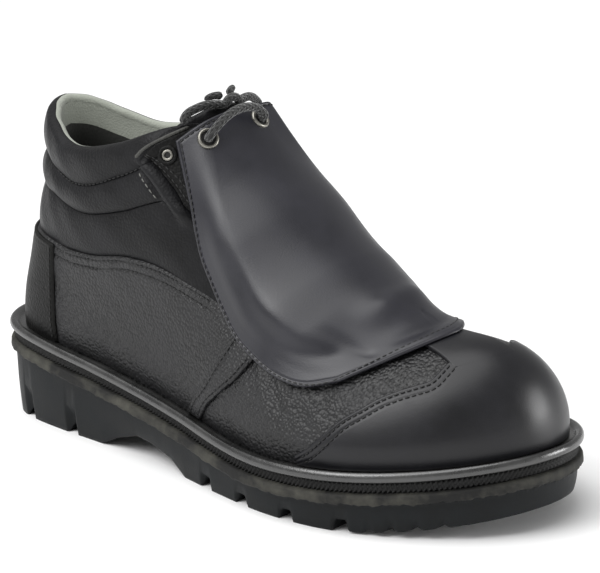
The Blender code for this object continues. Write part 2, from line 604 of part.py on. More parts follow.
t = np.linspace(-1, 1, 9)
p, n = guard_point(-0.22 + 0.40 * t, 0.070 - 0.050 * (1 - t ** 2), 0.0)
rise = 0.0010 + LACE / 2 + 0.0022 * (1 - t ** 4)
tube("guard_lace", p + n * rise[:, None], LACE / 2, lace)
for name, points in CORDS.items():
    path = smooth_path(np.array(points) * (LENGTH, BALL_WIDTH, HEIGHT) - (LENGTH / 2, 0, 0), 9)
    tube(name, path, LACE / 2, lace, 6)
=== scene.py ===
# Metatarsal guard safety boot, right foot: the visual model, in the frame of its CAD solids.
# Metres, +X towards the toe, -Y towards the outer side of the foot, +Z up, floor at z = 0.
from math import cos, radians, sin
import bpy
import numpy as np
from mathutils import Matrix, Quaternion, Vector


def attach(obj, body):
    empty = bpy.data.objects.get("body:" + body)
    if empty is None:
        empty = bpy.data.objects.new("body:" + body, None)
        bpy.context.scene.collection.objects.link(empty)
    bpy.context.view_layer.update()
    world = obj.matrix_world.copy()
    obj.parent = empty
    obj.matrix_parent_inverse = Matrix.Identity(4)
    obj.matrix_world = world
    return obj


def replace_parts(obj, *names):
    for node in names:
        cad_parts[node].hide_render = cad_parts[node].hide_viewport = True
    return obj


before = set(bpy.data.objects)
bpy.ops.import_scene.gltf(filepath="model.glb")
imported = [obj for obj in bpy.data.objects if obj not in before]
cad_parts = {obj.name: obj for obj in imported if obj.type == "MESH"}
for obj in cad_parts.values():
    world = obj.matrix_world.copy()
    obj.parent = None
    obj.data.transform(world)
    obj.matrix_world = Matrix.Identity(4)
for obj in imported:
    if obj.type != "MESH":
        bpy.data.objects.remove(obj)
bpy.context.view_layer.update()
print("frame loaded")

# Camera: the photograph's place, lens and roll
view = {"azimuth": 41.693, "elevation": 15.665, "roll": -1.328, "lens": 163.25, "distance": 1.1584,
    "target": (0.0114, 0.00827, 0.07725)}
azimuth, elevation = radians(view["azimuth"]), radians(view["elevation"])
backward = Vector((sin(azimuth) * cos(elevation), -cos(azimuth) * cos(elevation), sin(elevation)))
camera = bpy.data.objects.new("camera", bpy.data.cameras.new("camera"))
camera.data.sensor_fit = "HORIZONTAL"
camera.data.sensor_width = 36
camera.data.lens = view["lens"]
camera.location = Vector(view["target"]) + backward * view["distance"]
camera.rotation_mode = "QUATERNION"
camera.rotation_quaternion = (-backward).to_track_quat("-Z", "Y") @ Quaternion((0, 0, 1), radians(view["roll"]))
bpy.context.scene.collection.objects.link(camera)
bpy.context.scene.camera = camera

# Sizes and section tables of the last and the sole, the same as the solids have
boot = {"length": 0.302, "ballWidth": 0.115, "height": 0.146, "toeSpring": 0.012, "footDepth": 0.004,
    "wall": 0.0022, "overlay": 0.0012, "laid": 0.0005, "upperInset": 0.0072, "lace": 0.0038, "lipTurn": 0.09}
# Share of length, half width factor and centre line as shares of ball width
outlineTable = np.array([(0.0, 0.696, 0.04), (0.08, 0.536, 0.046), (0.2, 0.422, 0.04), (0.35, 0.357, -0.005),
    (0.45, 0.362, -0.033), (0.55, 0.413, -0.044), (0.65, 0.493, -0.03), (0.75, 0.568, 0.002), (0.85, 0.63, 0.04),
    (1.0, 0.67, 0.069)])
# Share of length, share of height of the bead's crest
beadTable = np.array([(0.0, 0.308), (0.25, 0.255), (0.45, 0.207), (0.6, 0.171), (0.74, 0.175), (0.88, 0.203),
    (1.0, 0.24)])
# Share of length, share of height of the sole's underside
archTable = np.array([(0.0, 0.0), (0.262, 0.0), (0.3, 0.038), (0.345, 0.066), (0.38, 0.06), (0.425, 0.04),
    (0.46, 0.0), (1.0, 0.0)])
# Share of length, share of height, roundness of the arch below the ridge line
ridgeTable = np.array([(0.0, 2.877, 6.0), (0.199, 2.055, 6.0), (0.348, 1.452, 6.0), (0.397, 1.192, 6.0),
    (0.437, 1.034, 5.6), (0.457, 0.973, 5.4), (0.487, 0.897, 5.1), (0.523, 0.818, 4.6), (0.563, 0.743, 4.0),
    (0.613, 0.661, 3.4), (0.662, 0.599, 2.9), (0.712, 0.555, 2.6), (0.762, 0.523, 2.6), (0.811, 0.508, 2.7),
    (0.868, 0.502, 2.7), (1.0, 0.502, 2.6)])
# Share of height, share of length of the back of the heel
backTable = np.array([(0.308, 0.036), (0.411, 0.043), (0.514, 0.056), (0.616, 0.067), (0.719, 0.077),
    (0.822, 0.086), (0.925, 0.092), (1.0, 0.096), (1.164, 0.104)])
# Share of the collar section's length, half width factor
collarTable = np.array([(0.0, 0.39), (0.05, 0.4), (0.1, 0.392), (0.2, 0.374), (0.31, 0.335), (0.45, 0.313),
    (0.7, 0.313), (1.0, 0.313)])
# Turn from the heel, share of length, share of ball width from the centre line, share of height
topTable = np.array([(0.0, 0.102, 0.0, 1.01), (0.05, 0.113, 0.113, 0.995), (0.1, 0.15, 0.209, 0.955),
    (0.15, 0.222, 0.261, 0.915), (0.2, 0.321, 0.278, 0.952), (0.25, 0.414, 0.252, 1.021),
    (0.28, 0.464, 0.217, 1.045), (0.3, 0.493, 0.191, 1.0), (0.35, 0.563, 0.157, 0.856), (0.4, 0.623, 0.122, 0.712),
    (0.45, 0.662, 0.07, 0.637), (0.5, 0.679, 0.0, 0.589)])
# Turn, and the way out from the chord at the top edge as x, y, z
outwardTable = np.array([(0.0, -1.0, 0.0, 0.0), (0.1, -0.6, 0.8, 0.0), (0.2, 0.0, 1.0, 0.0),
    (0.25, 0.15, 0.97, 0.15), (0.3, 0.35, 0.75, 0.55), (0.35, 0.45, 0.5, 0.75), (0.4, 0.5, 0.3, 0.8),
    (0.5, 0.5, 0.0, 0.86)])


# Cubic pieces through a table's column, each with the slopes of its neighbours
def curve(table, column, x):
    xs = table[:, 0]
    ys = table[:, column]
    slopes = np.gradient(ys, xs)
    x = np.clip(x, xs[0], xs[-1])
    i = np.clip(np.searchsorted(xs, x) - 1, 0, len(xs) - 2)
    h = xs[i + 1] - xs[i]
    t = (x - xs[i]) / h
    a = (1 + 2 * t) * (1 - t) ** 2 * ys[i] + t * (1 - t) ** 2 * h * slopes[i]
    b = t * t * (3 - 2 * t) * ys[i + 1] + t * t * (t - 1) * h * slopes[i + 1]
    return a + b


# 0 below low, 1 above high, an S between
def smooth(x, low, high):
    t = np.clip((x - low) / (high - low), 0, 1)
    return t * t * (3 - 2 * t)


# A soft trough: depth times a bell over the distance, in metres
def trough(distance, width, depth):
    return -depth * np.exp(-(distance / width) ** 2)


# Share of length at x, 0 at the heel and 1 at the toe
def lengthShare(x):
    return x / boot["length"] + 0.5


# Height of the bead's crest: its table times the boot's height
def beadHeight(x):
    return boot["height"] * curve(beadTable, 1, lengthShare(x))


# Height of the sole's underside: its table, and a toe spring that grows as the power 1.8 past the ball
def floorHeight(x):
    s = lengthShare(x)
    spring = boot["toeSpring"] * (np.clip(s - 0.72, 0, 1) / 0.28) ** 1.8
    return boot["height"] * np.interp(s, archTable[:, 0], archTable[:, 1]) + spring


# Share of length at a turn: (1 - cos 2 pi u) / 2, so that turns bunch up at the heel and the toe
def turnShare(u):
    return (1 - np.cos(2 * np.pi * u)) / 2


# How far the foot of the upper lies inside the outline, more at the heel and the toe
def footInset(u):
    c = turnShare(u)
    return boot["upperInset"] + 0.003 * (1 - smooth(c, 0.0, 0.2)) + 0.0022 * smooth(c, 0.8, 1.0)


# Outline moved in by inset: x runs with the share c, y = centre - sin(2 pi u) times the half width factor
def outline(u, inset):
    c = turnShare(u)
    x = -boot["length"] / 2 + inset + c * (boot["length"] - 2 * inset)
    factor = boot["ballWidth"] * curve(outlineTable, 1, c) - inset * (1 + 0.4 * abs(2 * c - 1))
    return x, boot["ballWidth"] * curve(outlineTable, 2, c) - np.sin(2 * np.pi * u) * factor


# Squared half width of the last: 4 c (1 - c) for the ends, times the factor squared, times one minus the share
# of the height under the ridge line raised to its roundness. Also gives the centre line.
def halfWidth(x, z):
    base = beadHeight(x) - boot["footDepth"]
    h = np.maximum(z - base, 0)
    ridge = boot["height"] * curve(ridgeTable, 1, lengthShare(x))
    nose = np.clip((lengthShare(x) - 0.861) / 0.1132, 0, 1.2) ** 2.6
    ridge = base + (ridge - base) * np.sign(1 - nose) * abs(1 - nose) ** 0.4545
    ridge = np.maximum(ridge, base + 1e-5)
    arch = 1 - np.minimum(h / (ridge - base), 3) ** curve(ridgeTable, 2, lengthShare(x))
    back = boot["length"] * (curve(backTable, 1, z / boot["height"]) - 0.5)
    front = boot["length"] / 2 - 0.0078
    c = (x - back) / (front - back)
    inset = boot["upperInset"] - 0.002 * smooth(h, 0, 0.015)
    low = boot["ballWidth"] * curve(outlineTable, 1, c) - inset * (1 + 0.4 * abs(2 * c - 1))
    high = boot["ballWidth"] * curve(collarTable, 1, c)
    lift = smooth(h, 0.007, 0.088)
    factor = low + (high - low) * lift
    centre = boot["ballWidth"] * (curve(outlineTable, 2, c) * (1 - lift) - 0.001 * lift)
    ends = 4 * c * (1 - c)
    return np.where((ends > 0) & (arch > 0), ends * factor ** 2 * arch, -1.0), centre


# Halves the way in and out along a direction until it meets the last; the normal is the gradient there
def snap(start, way):
    low = np.full(start.shape[:-1], -0.014)
    high = np.full(start.shape[:-1], 0.055)
    for _ in range(24):
        middle = (low + high) / 2
        p = start + middle[..., None] * way
        g, centre = halfWidth(p[..., 0], p[..., 2])
        inside = g > (p[..., 1] - centre) ** 2
        low = np.where(inside, middle, low)
        high = np.where(inside, high, middle)
    p = start + low[..., None] * way
    normal = np.zeros_like(p)
    for axis in range(3):
        value = []
        for step in (-0.0004, 0.0004):
            q = p - 0.0005 * way
            q[..., axis] += step
            g, centre = halfWidth(q[..., 0], q[..., 2])
            value.append((q[..., 1] - centre) ** 2 - g)
        normal[..., axis] = value[1] - value[0]
    return p, normal / np.linalg.norm(normal, axis=-1, keepdims=True)


# Point of the last at a turn u and a share v of the way from the sole to the top edge: the straight line between
# the two, moved out along a way that turns from level to the table's
def upperPoint(u, v):
    u, v = np.broadcast_arrays(np.asarray(u, float), np.asarray(v, float))
    side = np.where(u < 0.5, -1.0, 1.0)
    w = np.minimum(u, 1 - u)
    inset = footInset(u)
    bx, by = outline(u, inset)
    base = np.stack([bx, by, beadHeight(bx) - boot["footDepth"]], -1)
    top = np.stack([boot["length"] * (curve(topTable, 1, w) - 0.5), side * boot["ballWidth"] * curve(topTable, 2,
        w), boot["height"] * curve(topTable, 3, w)], -1)
    out = np.stack([curve(outwardTable, 1, w), side * curve(outwardTable, 2, w), curve(outwardTable, 3, w)], -1)
    ax, ay = outline(u - 0.001, inset)
    cx, cy = outline(u + 0.001, inset)
    flat = np.stack([cy - ay, ax - cx, 0 * ax], -1)
    flat /= np.linalg.norm(flat, axis=-1, keepdims=True)
    k = smooth(v, 0.0, 0.55)[..., None]
    way = flat * (1 - k) + out * k
    way /= np.linalg.norm(way, axis=-1, keepdims=True)
    return snap(base + v[..., None] * (top - base), way)


# Metres of leather per unit of v, for distances from a seam
def wayUp(w):
    foot = beadHeight(outline(w, footInset(w))[0]) - boot["footDepth"]
    return boot["height"] * curve(topTable, 3, w) - foot


# Share of the way up where leather laid over the upper ends, just clear of the welt
def footShare(w):
    return (boot["footDepth"] - 0.0004) / wayUp(w)


# Turn, then the quarter's top seam, the lower groove, the upper groove, and how full the padded tiers are
tierTable = np.array([(0.0, 0.475, 0.665, 0.8, 1.0), (0.07, 0.475, 0.685, 0.82, 1.0),
    (0.13, 0.505, 0.715, 0.835, 1.0), (0.17, 0.525, 0.71, 0.835, 1.0), (0.2, 0.545, 0.73, 0.865, 1.0),
    (0.224, 0.525, 0.75, 0.885, 1.0), (0.24, 0.5, 0.755, 0.9, 0.2), (0.255, 0.475, 0.75, 0.9, 0.0),
    (0.28, 0.43, 0.72, 0.88, 0.0), (0.32, 0.38, 0.66, 0.84, 0.0), (0.4, 0.35, 0.62, 0.81, 0.0),
    (0.5, 0.34, 0.62, 0.81, 0.0)])
# Share of the way up, rear and front edge of the padded roll behind the eyestay, as turns
rollTable = np.array([(0.6, 0.262, 0.276), (0.7, 0.247, 0.262), (0.75, 0.24, 0.2555), (0.83, 0.231, 0.245),
    (0.885, 0.2235, 0.236), (0.94, 0.215, 0.226), (1.0, 0.206, 0.217)])
pads = {"rise": (0.002, 0.0026, 0.0026), "sink": 0.0014, "roll": 0.0042, "rollFrom": 0.66, "rollTo": 0.93}


# How far the padded tiers stand out: a sine raised to 0.6 between each pair of seams, less the seams' depth, and
# a half round roll down the front end of the tiers
def padding(u, v):
    w = np.minimum(u, 1 - u)
    low, middle, high, full = (curve(tierTable, k, w) for k in (1, 2, 3, 4))
    rear, front = (curve(rollTable, k, v) for k in (1, 2))
    along = (w - rear) / (front - rear)
    full = np.where(v > high, np.clip(curve(tierTable, 4, w - 0.012), 0, 1), 1 - smooth(along, -0.35, 0.0))
    full = np.where(v < middle, np.clip(1 - smooth(w, 0.2, 0.27), 0, 1), full)
    out = 0.0004 * (v < low) * (1 - smooth(w, 0.27, 0.3))
    for a, b, rise in ((low, middle, pads["rise"][0]), (middle, high, pads["rise"][1]),
            (high, 1.0 + 0 * high, pads["rise"][2])):
        t = np.clip((v - a) / (b - a), 0, 1)
        out = out + np.where((v >= a) & (v <= b), full * (rise * np.sin(np.pi * t) ** 0.6 - pads["sink"]), 0)
    roll = np.sin(np.pi * np.clip(along, 0, 1)) ** 0.7
    reach = smooth(v, pads["rollFrom"], pads["rollFrom"] + 0.06) * (1 - smooth(v, pads["rollTo"] - 0.05,
        pads["rollTo"]))
    edge = np.exp(-(along / 0.16) ** 2) + np.exp(-((along - 1) / 0.16) ** 2)
    return out + (pads["roll"] * roll - 0.0008 * edge) * reach


# Last plus padding plus a lift, along the normal
def outerSkin(u, v, lift=0.0):
    p, n = upperPoint(u, v)
    return p + n * (padding(u, v) + lift)[..., None]


# Edge of the guard: share of the way down, share of length, half width as a share of ball width, share of height,
# rise of the crest line in degrees, reach of the inner side as a share of the outer
guardTable = np.array([(0.0, 0.419, 0.237, 0.972, 51.0, 0.66), (0.1, 0.436, 0.25, 0.895, 51.0, 0.74),
    (0.2, 0.459, 0.267, 0.794, 51.0, 0.84), (0.3, 0.474, 0.282, 0.721, 51.0, 0.93),
    (0.4, 0.489, 0.294, 0.656, 51.0, 1.0), (0.5, 0.511, 0.307, 0.591, 51.0, 1.0),
    (0.6, 0.535, 0.324, 0.528, 51.0, 1.0), (0.68, 0.563, 0.346, 0.468, 51.0, 1.0),
    (0.76, 0.592, 0.363, 0.43, 51.0, 1.0), (0.82, 0.624, 0.376, 0.4, 51.0, 1.0),
    (0.88, 0.661, 0.382, 0.376, 49.0, 1.0), (0.94, 0.699, 0.371, 0.37, 41.0, 1.0),
    (1.0, 0.742, 0.365, 0.391, 28.5, 0.8)])
tongueTable = np.array([(0.0, 0.4, 0.215, 0.985, 51.0, 1.0), (0.25, 0.45, 0.205, 0.877, 51.0, 1.0),
    (0.5, 0.505, 0.19, 0.74, 51.0, 1.0), (0.75, 0.57, 0.17, 0.603, 51.0, 1.0),
    (1.0, 0.668, 0.14, 0.466, 51.0, 1.0)])


# Last under a flap over the instep, a across and b down: starts on the flap's middle plane and fans out from
# level on one side, over the crest, to level on the other
def wrap(table, a, b):
    a, b = np.broadcast_arrays(np.asarray(a, float), np.asarray(b, float))
    half = boot["ballWidth"] * curve(table, 2, b)
    rise = np.radians(curve(table, 4, b))
    back = boot["lipTurn"] * np.where(a > 0, np.sqrt(a ** 2 + 0.0009) - 0.03, 0) * b ** 6
    a = np.where(a > 0, a * np.minimum(curve(table, 5, b), 1), a)
    turn = a * np.pi / 2
    start = np.stack([boot["length"] * (curve(table, 1, b) - 0.5 - back), 0.5 * a * half,
        boot["height"] * curve(table, 3, b)], -1)
    way = np.stack([np.cos(turn) * np.cos(rise), np.sin(turn), np.cos(turn) * np.sin(rise)], -1)
    return snap(start, way)


# Linear colour of an sRGB code: ((c + 0.055) / 1.055) to the power 2.4, or c / 12.92 where dark
def srgb(code):
    values = np.array([int(code[i:i + 2], 16) for i in (1, 3, 5)]) / 255
    linear = np.where(values <= 0.04045, values / 12.92, ((values + 0.055) / 1.055) ** 2.4)
    return (*linear.tolist(), 1.0)


# New node: an input given as (node, output) is linked, any other value is set
def addNode(tree, kind, inputs=None, **settings):
    new = tree.nodes.new(kind)
    for key, value in settings.items():
        setattr(new, key, value)
    for key, value in (inputs or {}).items():
        if isinstance(value, tuple) and isinstance(value[0], bpy.types.Node):
            tree.links.new(value[0].outputs[value[1]], new.inputs[key])
        else:
            new.inputs[key].default_value = value
    return new


# Principled finish with the given inputs set, and the object's coordinates
def newMaterial(name, values):
    finish = bpy.data.materials.new(name)
    finish.use_nodes = True
    shader = finish.node_tree.nodes["Principled BSDF"]
    for key, value in values.items():
        shader.inputs[key].default_value = value
    return finish, finish.node_tree, shader, addNode(finish.node_tree, "ShaderNodeTexCoord")


# Noise with its scale in waves per metre
def noise(tree, place, scale, detail, **more):
    return addNode(tree, "ShaderNodeTexNoise", {"Vector": (place, "Object"), "Scale": scale, "Detail": detail,
        **more})


# Base colour that runs from dark to light while the noise rises from low to high
def toneRamp(tree, shader, source, look, low, high):
    tone = addNode(tree, "ShaderNodeValToRGB", {"Fac": (source, "Fac")})
    for element, at, key in zip(tone.color_ramp.elements, (low, high), ("dark", "light")):
        element.position = at
        element.color = srgb(look[key])
    tree.links.new(tone.outputs["Color"], shader.inputs["Base Color"])


# Base colour mixed from dark to light by a value
def toneMix(tree, shader, source, look):
    tone = addNode(tree, "ShaderNodeMixRGB", {"Fac": source, "Color1": srgb(look["dark"]),
        "Color2": srgb(look["light"])})
    tree.links.new(tone.outputs["Color"], shader.inputs["Base Color"])


# Roughness between low and high as the noise runs over its middle range
def roughen(tree, shader, source, low, high):
    rough = addNode(tree, "ShaderNodeMapRange", {"Value": (source, "Fac"), "From Min": 0.3, "From Max": 0.7,
        "To Min": low, "To Max": high})
    tree.links.new(rough.outputs["Result"], shader.inputs["Roughness"])


# Bump from a height output into the shader's normal
def bumped(tree, shader, height, strength, distance, **more):
    bump = addNode(tree, "ShaderNodeBump", {"Height": height, "Strength": strength, "Distance": distance, **more})
    tree.links.new(bump.outputs["Normal"], shader.inputs["Normal"])
    return bump


# Math node on values or (node, output) pairs
def maths(tree, operation, *values):
    return addNode(tree, "ShaderNodeMath", dict(enumerate(values)), operation=operation)


# Full grain cowhide, dyed black and finished: pebbles pressed in by the tannery, with a thin coat of finish.
# look: dark and light sRGB, pebble and depth in mm, strength of the pebbles, roughness, specular, coat
def leather(name, look):
    finish, tree, shader, place = newMaterial(name, {"IOR": 1.5, "Specular IOR Level": look["specular"],
        "Coat Weight": look["coat"], "Coat Roughness": 0.28})
    wobble = noise(tree, place, 900 / look["pebble"], 2.0)
    shift = addNode(tree, "ShaderNodeMixRGB", {"Fac": 0.0003 * look["pebble"], "Color1": (place, "Object"),
        "Color2": (wobble, "Color")}, blend_type="ADD")
    pebbles = addNode(tree, "ShaderNodeTexVoronoi", {"Vector": (shift, "Color"), "Scale": 1000 / look["pebble"],
        "Smoothness": 0.15}, feature="SMOOTH_F1")
    broad = noise(tree, place, 45.0, 4.0, Roughness=0.6)
    toneRamp(tree, shader, broad, look, 0.35, 0.68)
    roughen(tree, shader, broad, look["roughness"] - 0.05, look["roughness"] + 0.07)
    height = maths(tree, "MULTIPLY", (pebbles, "Distance"), -1.0)
    coarse = bumped(tree, shader, (height, "Value"), look["strength"], look["depth"] / 1000)
    bumped(tree, shader, (noise(tree, place, 3500.0, 3.0), "Fac"), 0.25, 0.0001, Normal=(coarse, "Normal"))
    return finish


# Moulded black rubber, slightly open in the surface. look: dark and light sRGB and the noise levels from and to
# which the tone runs, roughness, specular
def rubber(name, look):
    finish, tree, shader, place = newMaterial(name, {"IOR": 1.52,
        "Specular IOR Level": look["specular"]})
    broad = noise(tree, place, 60.0, 6.0, Roughness=0.65)
    toneRamp(tree, shader, broad, look, look["from"], look["to"])
    roughen(tree, shader, broad, look["roughness"] - 0.08, look["roughness"] + 0.1)
    bumped(tree, shader, (noise(tree, place, 1400.0, 3.0), "Fac"), 0.5, 0.00015)
    return finish


# Knitted polyester lining, matt, with a soft nap. look: dark and light sRGB, stitch in mm
def knitLining(name, look):
    finish, tree, shader, place = newMaterial(name, {"Roughness": 0.92, "Sheen Weight": 0.3})
    knit = addNode(tree, "ShaderNodeTexVoronoi", {"Vector": (place, "Object"), "Scale": 1000 / look["stitch"]})
    toneMix(tree, shader, (noise(tree, place, 90.0, 4.0), "Fac"), look)
    bumped(tree, shader, (knit, "Distance"), 0.5, 0.0003)
    return finish


# Braided polyester cord, from the cord's own UV: the greater of two sines that wind six strands opposite ways.
# Its colour follows the same height, darker in the hollows between strands: painted shade. look: dark and light
# sRGB, pitch of a strand in mm
def braid(name, look):
    finish, tree, shader, place = newMaterial(name, {"Roughness": 0.78, "Sheen Weight": 0.4})
    parts = addNode(tree, "ShaderNodeSeparateXYZ", {"Vector": (place, "UV")})
    waves = []
    for strands in (-6.0, 6.0):
        around = maths(tree, "MULTIPLY", (parts, "Y"), strands)
        along = maths(tree, "MULTIPLY", (parts, "X"), 1000 / look["pitch"])
        total = maths(tree, "ADD", (around, "Value"), (along, "Value"))
        waves.append(maths(tree, "SINE", (maths(tree, "MULTIPLY", (total, "Value"), 6.2832), "Value")))
    height = maths(tree, "MAXIMUM", (waves[0], "Value"), (waves[1], "Value"))
    bumped(tree, shader, (height, "Value"), 0.7, 0.0004)
    # Painted shade: the tone runs from dark in the hollows between strands to light on their crests
    level = addNode(tree, "ShaderNodeMapRange", {"Value": (height, "Value"), "From Min": -0.6, "From Max": 1.0})
    toneMix(tree, shader, (level, "Result"), look)
    return finish


# Nickel plated steel, pressed and tumbled, with faint scratches
def nickel(name, look):
    finish, tree, shader, place = newMaterial(name, {"Base Color": srgb(look["colour"]),
        "Metallic": 1.0})
    roughen(tree, shader, noise(tree, place, 2500.0, 2.0), look["roughness"], look["roughness"] + 0.15)
    return finish


# Waxed thread
def threadFinish(name, look):
    finish, tree, shader, place = newMaterial(name, {"Roughness": look["roughness"]})
    toneMix(tree, shader, (noise(tree, place, 3000.0, 1.0), "Fac"), look)
    return finish


grainLook = {"dark": "#0f0f10", "light": "#1a1a1c", "pebble": 1.4, "depth": 0.55, "strength": 1.0,
    "roughness": 0.45, "specular": 0.5, "coat": 0.0}
padLook = {"dark": "#101011", "light": "#1c1c1e", "pebble": 1.2, "depth": 0.24, "strength": 0.7, "roughness": 0.44,
    "specular": 0.18, "coat": 0.0}
guardLook = {"dark": "#18181f", "light": "#222229", "pebble": 0.7, "depth": 0.08, "strength": 0.35,
    "roughness": 0.4, "specular": 0.5, "coat": 0.1}
capLook = {"dark": "#111114", "light": "#19191d", "pebble": 0.7, "depth": 0.06, "strength": 0.3, "roughness": 0.36,
    "specular": 0.38, "coat": 0.06}
stripLook = {"dark": "#0d0d0d", "light": "#171716", "pebble": 1.2, "depth": 0.3, "strength": 0.7,
    "roughness": 0.46, "specular": 0.14, "coat": 0.0}
grainLeather = leather("cowhide_pebbled_black", grainLook)
padLeather = leather("cowhide_soft_black", padLook)
guardLeather = leather("cowhide_coated_guard_black", guardLook)
capLeather = leather("cowhide_coated_toe_black", capLook)
stripLeather = leather("cowhide_smooth_black", stripLook)
edgeLeather = leather("cowhide_cut_edge_grey", dict(stripLook, dark="#3c3c3a", light="#565653"))
beadRubber = rubber("rubber_bead_black", {"from": 0.38, "to": 0.66, "dark": "#161616", "light": "#2a2a29",
    "roughness": 0.27, "specular": 1.0})
soleRubber = rubber("rubber_moulded_black", {"from": 0.38, "to": 0.66, "dark": "#0e1011", "light": "#16191b",
    "roughness": 0.5, "specular": 0.18})
dustyRubber = rubber("rubber_scuffed_grey", {"from": 0.42, "to": 0.72, "dark": "#111110", "light": "#4d4c45",
    "roughness": 0.75, "specular": 0.35})
grooveRubber = rubber("rubber_knurled_black", {"from": 0.38, "to": 0.66, "dark": "#080808", "light": "#121211",
    "roughness": 0.55, "specular": 0.4})
lining = knitLining("polyester_knit_lining", {"dark": "#8d9187", "light": "#aaaea3", "stitch": 0.9})
# Darker copy of the knit lining: painted shade for the inside of the boot, away from the rim
liningPaintedShade = knitLining("polyester_knit_lining_painted_shade", {"dark": "#1d1e1b", "light": "#2c2d29", "stitch": 1.2})
laceBraid = braid("polyester_braid_black", {"dark": "#090909", "light": "#262726", "pitch": 3.2})
eyeletNickel = nickel("steel_nickel_plated", {"colour": "#8f8d86", "roughness": 0.3})
thread = threadFinish("polyester_thread_black", {"dark": "#0a0a0a", "light": "#1c1c1c", "roughness": 0.6})
paleThread = threadFinish("polyester_thread_grey", {"dark": "#5a5a57", "light": "#83837e", "roughness": 0.6})
print("materials made")

# Mesh from arrays: points (n, 3), faces (m, 4), one finish or several with a finish number for each face
def addPiece(name, points, faces, finishes, faceFinish=None, uv=None):
    mesh = bpy.data.meshes.new(name)
    mesh.vertices.add(len(points))
    mesh.vertices.foreach_set("co", np.ascontiguousarray(points, np.float32).ravel())
    mesh.loops.add(faces.size)
    mesh.loops.foreach_set("vertex_index", np.ascontiguousarray(faces, np.int32).ravel())
    mesh.polygons.add(len(faces))
    mesh.polygons.foreach_set("loop_start", np.arange(0, faces.size, faces.shape[1], dtype=np.int32))
    if uv is not None:
        layer = mesh.uv_layers.new(name="flat")
        layer.data.foreach_set("uv", np.ascontiguousarray(uv[faces.ravel()], np.float32).ravel())
    mesh.update(calc_edges=True)
    mesh.validate()
    mesh.shade_smooth()
    finishes = finishes if isinstance(finishes, list) else [finishes]
    for finish in finishes:
        mesh.materials.append(finish)
    if faceFinish is not None:
        mesh.polygons.foreach_set("material_index", np.ascontiguousarray(faceFinish, np.int32))
    piece = bpy.data.objects.new(name, mesh)
    bpy.context.scene.collection.objects.link(piece)
    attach(piece, "root")
    return piece


# Quads of a grid stored row by row; closed joins the last column to the first
def gridFaces(rows, columns, closed=False, flip=False):
    i, j = np.meshgrid(np.arange(rows - 1), np.arange(columns if closed else columns - 1), indexing="ij")
    k = (j + 1) % columns
    faces = np.stack([i * columns + j, i * columns + k, (i + 1) * columns + k, (i + 1) * columns + j], -1)
    faces = faces.reshape(-1, 4)
    return faces[:, ::-1] if flip else faces


# Piece from a grid of points, with a finish number for each row of faces
def gridPiece(name, grid, finishes, closed=False, flip=False, rowFinish=None, uv=None):
    rows, columns = grid.shape[:2]
    faceFinish = None
    if rowFinish is not None:
        across = columns if closed else columns - 1
        faceFinish = np.repeat(np.asarray(rowFinish)[:rows - 1], across)
    return addPiece(name, grid.reshape(-1, 3), gridFaces(rows, columns, closed, flip), finishes, faceFinish, uv)


# Shortest distance of each grid point to a line's points
def distanceTo(grid, line):
    flat = grid.reshape(-1, 3).astype(np.float32)
    line = line.astype(np.float32)
    best = np.full(len(flat), 1.0, np.float32)
    for part in np.array_split(np.arange(len(line)), max(1, len(line) // 40)):
        gap = ((flat[:, None, :] - line[None, part, :]) ** 2).sum(-1).min(1)
        best = np.minimum(best, gap)
    return np.sqrt(best).reshape(grid.shape[:-1])


# Drop of a face towards its border, a quarter circle of the radius
def rounded(gap, radius):
    return radius * (1 - np.sqrt(1 - (1 - np.clip(gap / radius, 0, 1)) ** 2))


# Points round a grid's border, in order
def borderOf(grid):
    return np.concatenate([grid[0], grid[1:, -1], grid[-1, -2::-1], grid[-2:0:-1, 0]])


# Points and normals at equal steps along a line
def evenly(points, normals, step):
    gaps = np.linalg.norm(np.diff(points, axis=0), axis=1)
    at = np.concatenate([[0], np.cumsum(gaps)])
    count = max(int(at[-1] / step), 2)
    where = (np.arange(count) + 0.5) * at[-1] / count

    def read(values, places):
        return np.stack([np.interp(places, at, values[:, k]) for k in range(3)], -1)

    p, n = read(points, where), read(normals, where)
    t = read(points, where + step * 0.2) - read(points, where - step * 0.2)
    return p, n / np.linalg.norm(n, axis=1, keepdims=True), t / np.linalg.norm(t, axis=1, keepdims=True)


# A row of stitches: one bead of thread, a sphere drawn out to length by width and half sunk, copied at each step
def stitchRow(name, lines, finish):
    rings, sides = 5, 6
    lat = np.linspace(0, np.pi, rings)
    lon = np.arange(sides) * 2 * np.pi / sides
    along = np.cos(lat)[:, None] + 0 * lon
    across = np.sin(lat)[:, None] ** 0.7 * np.cos(lon)
    up = np.sin(lat)[:, None] ** 0.7 * np.sin(lon)
    shape = np.stack([along, across, up], -1).reshape(-1, 3) * (stitching["length"] / 2, stitching["width"] / 2,
        stitching["width"] / 2)
    faces = gridFaces(rings, sides, closed=True, flip=True)
    points, allFaces = [], []
    base = 0
    for linePoints, lineNormals in lines:
        p, n, t = evenly(linePoints, lineNormals, stitching["step"])
        s = np.cross(n, t)
        block = (p[:, None] + shape[None, :, 0:1] * t[:, None] + shape[None, :, 1:2] * s[:,
            None] + (shape[None, :, 2:3] + stitching["lift"]) * n[:, None])
        points.append(block.reshape(-1, 3))
        offset = base + np.arange(len(p))[:, None, None] * len(shape)
        allFaces.append((faces[None] + offset).reshape(-1, 4))
        base += len(p) * len(shape)
    return addPiece(name, np.concatenate(points), np.concatenate(allFaces), finish)


stitching = {"length": 0.0021, "width": 0.0007, "step": 0.0027, "lift": 0.0001}

# Outsole: a ring of wall sections, then rings that shrink to the centre line underneath, with the lugs cut by
# raising the floor and pulling in the wall inside each groove
outsoleShape = {"columns": 900, "grooveDepth": 0.0042, "grooveWidth": 0.0026, "toothDepth": 0.0016, "dustyRings": 7}
lugGrooves = (0.075, 0.185, 0.515, 0.6, 0.69, 0.78)
turns = np.arange(outsoleShape["columns"]) / outsoleShape["columns"]
share = turnShare(turns)
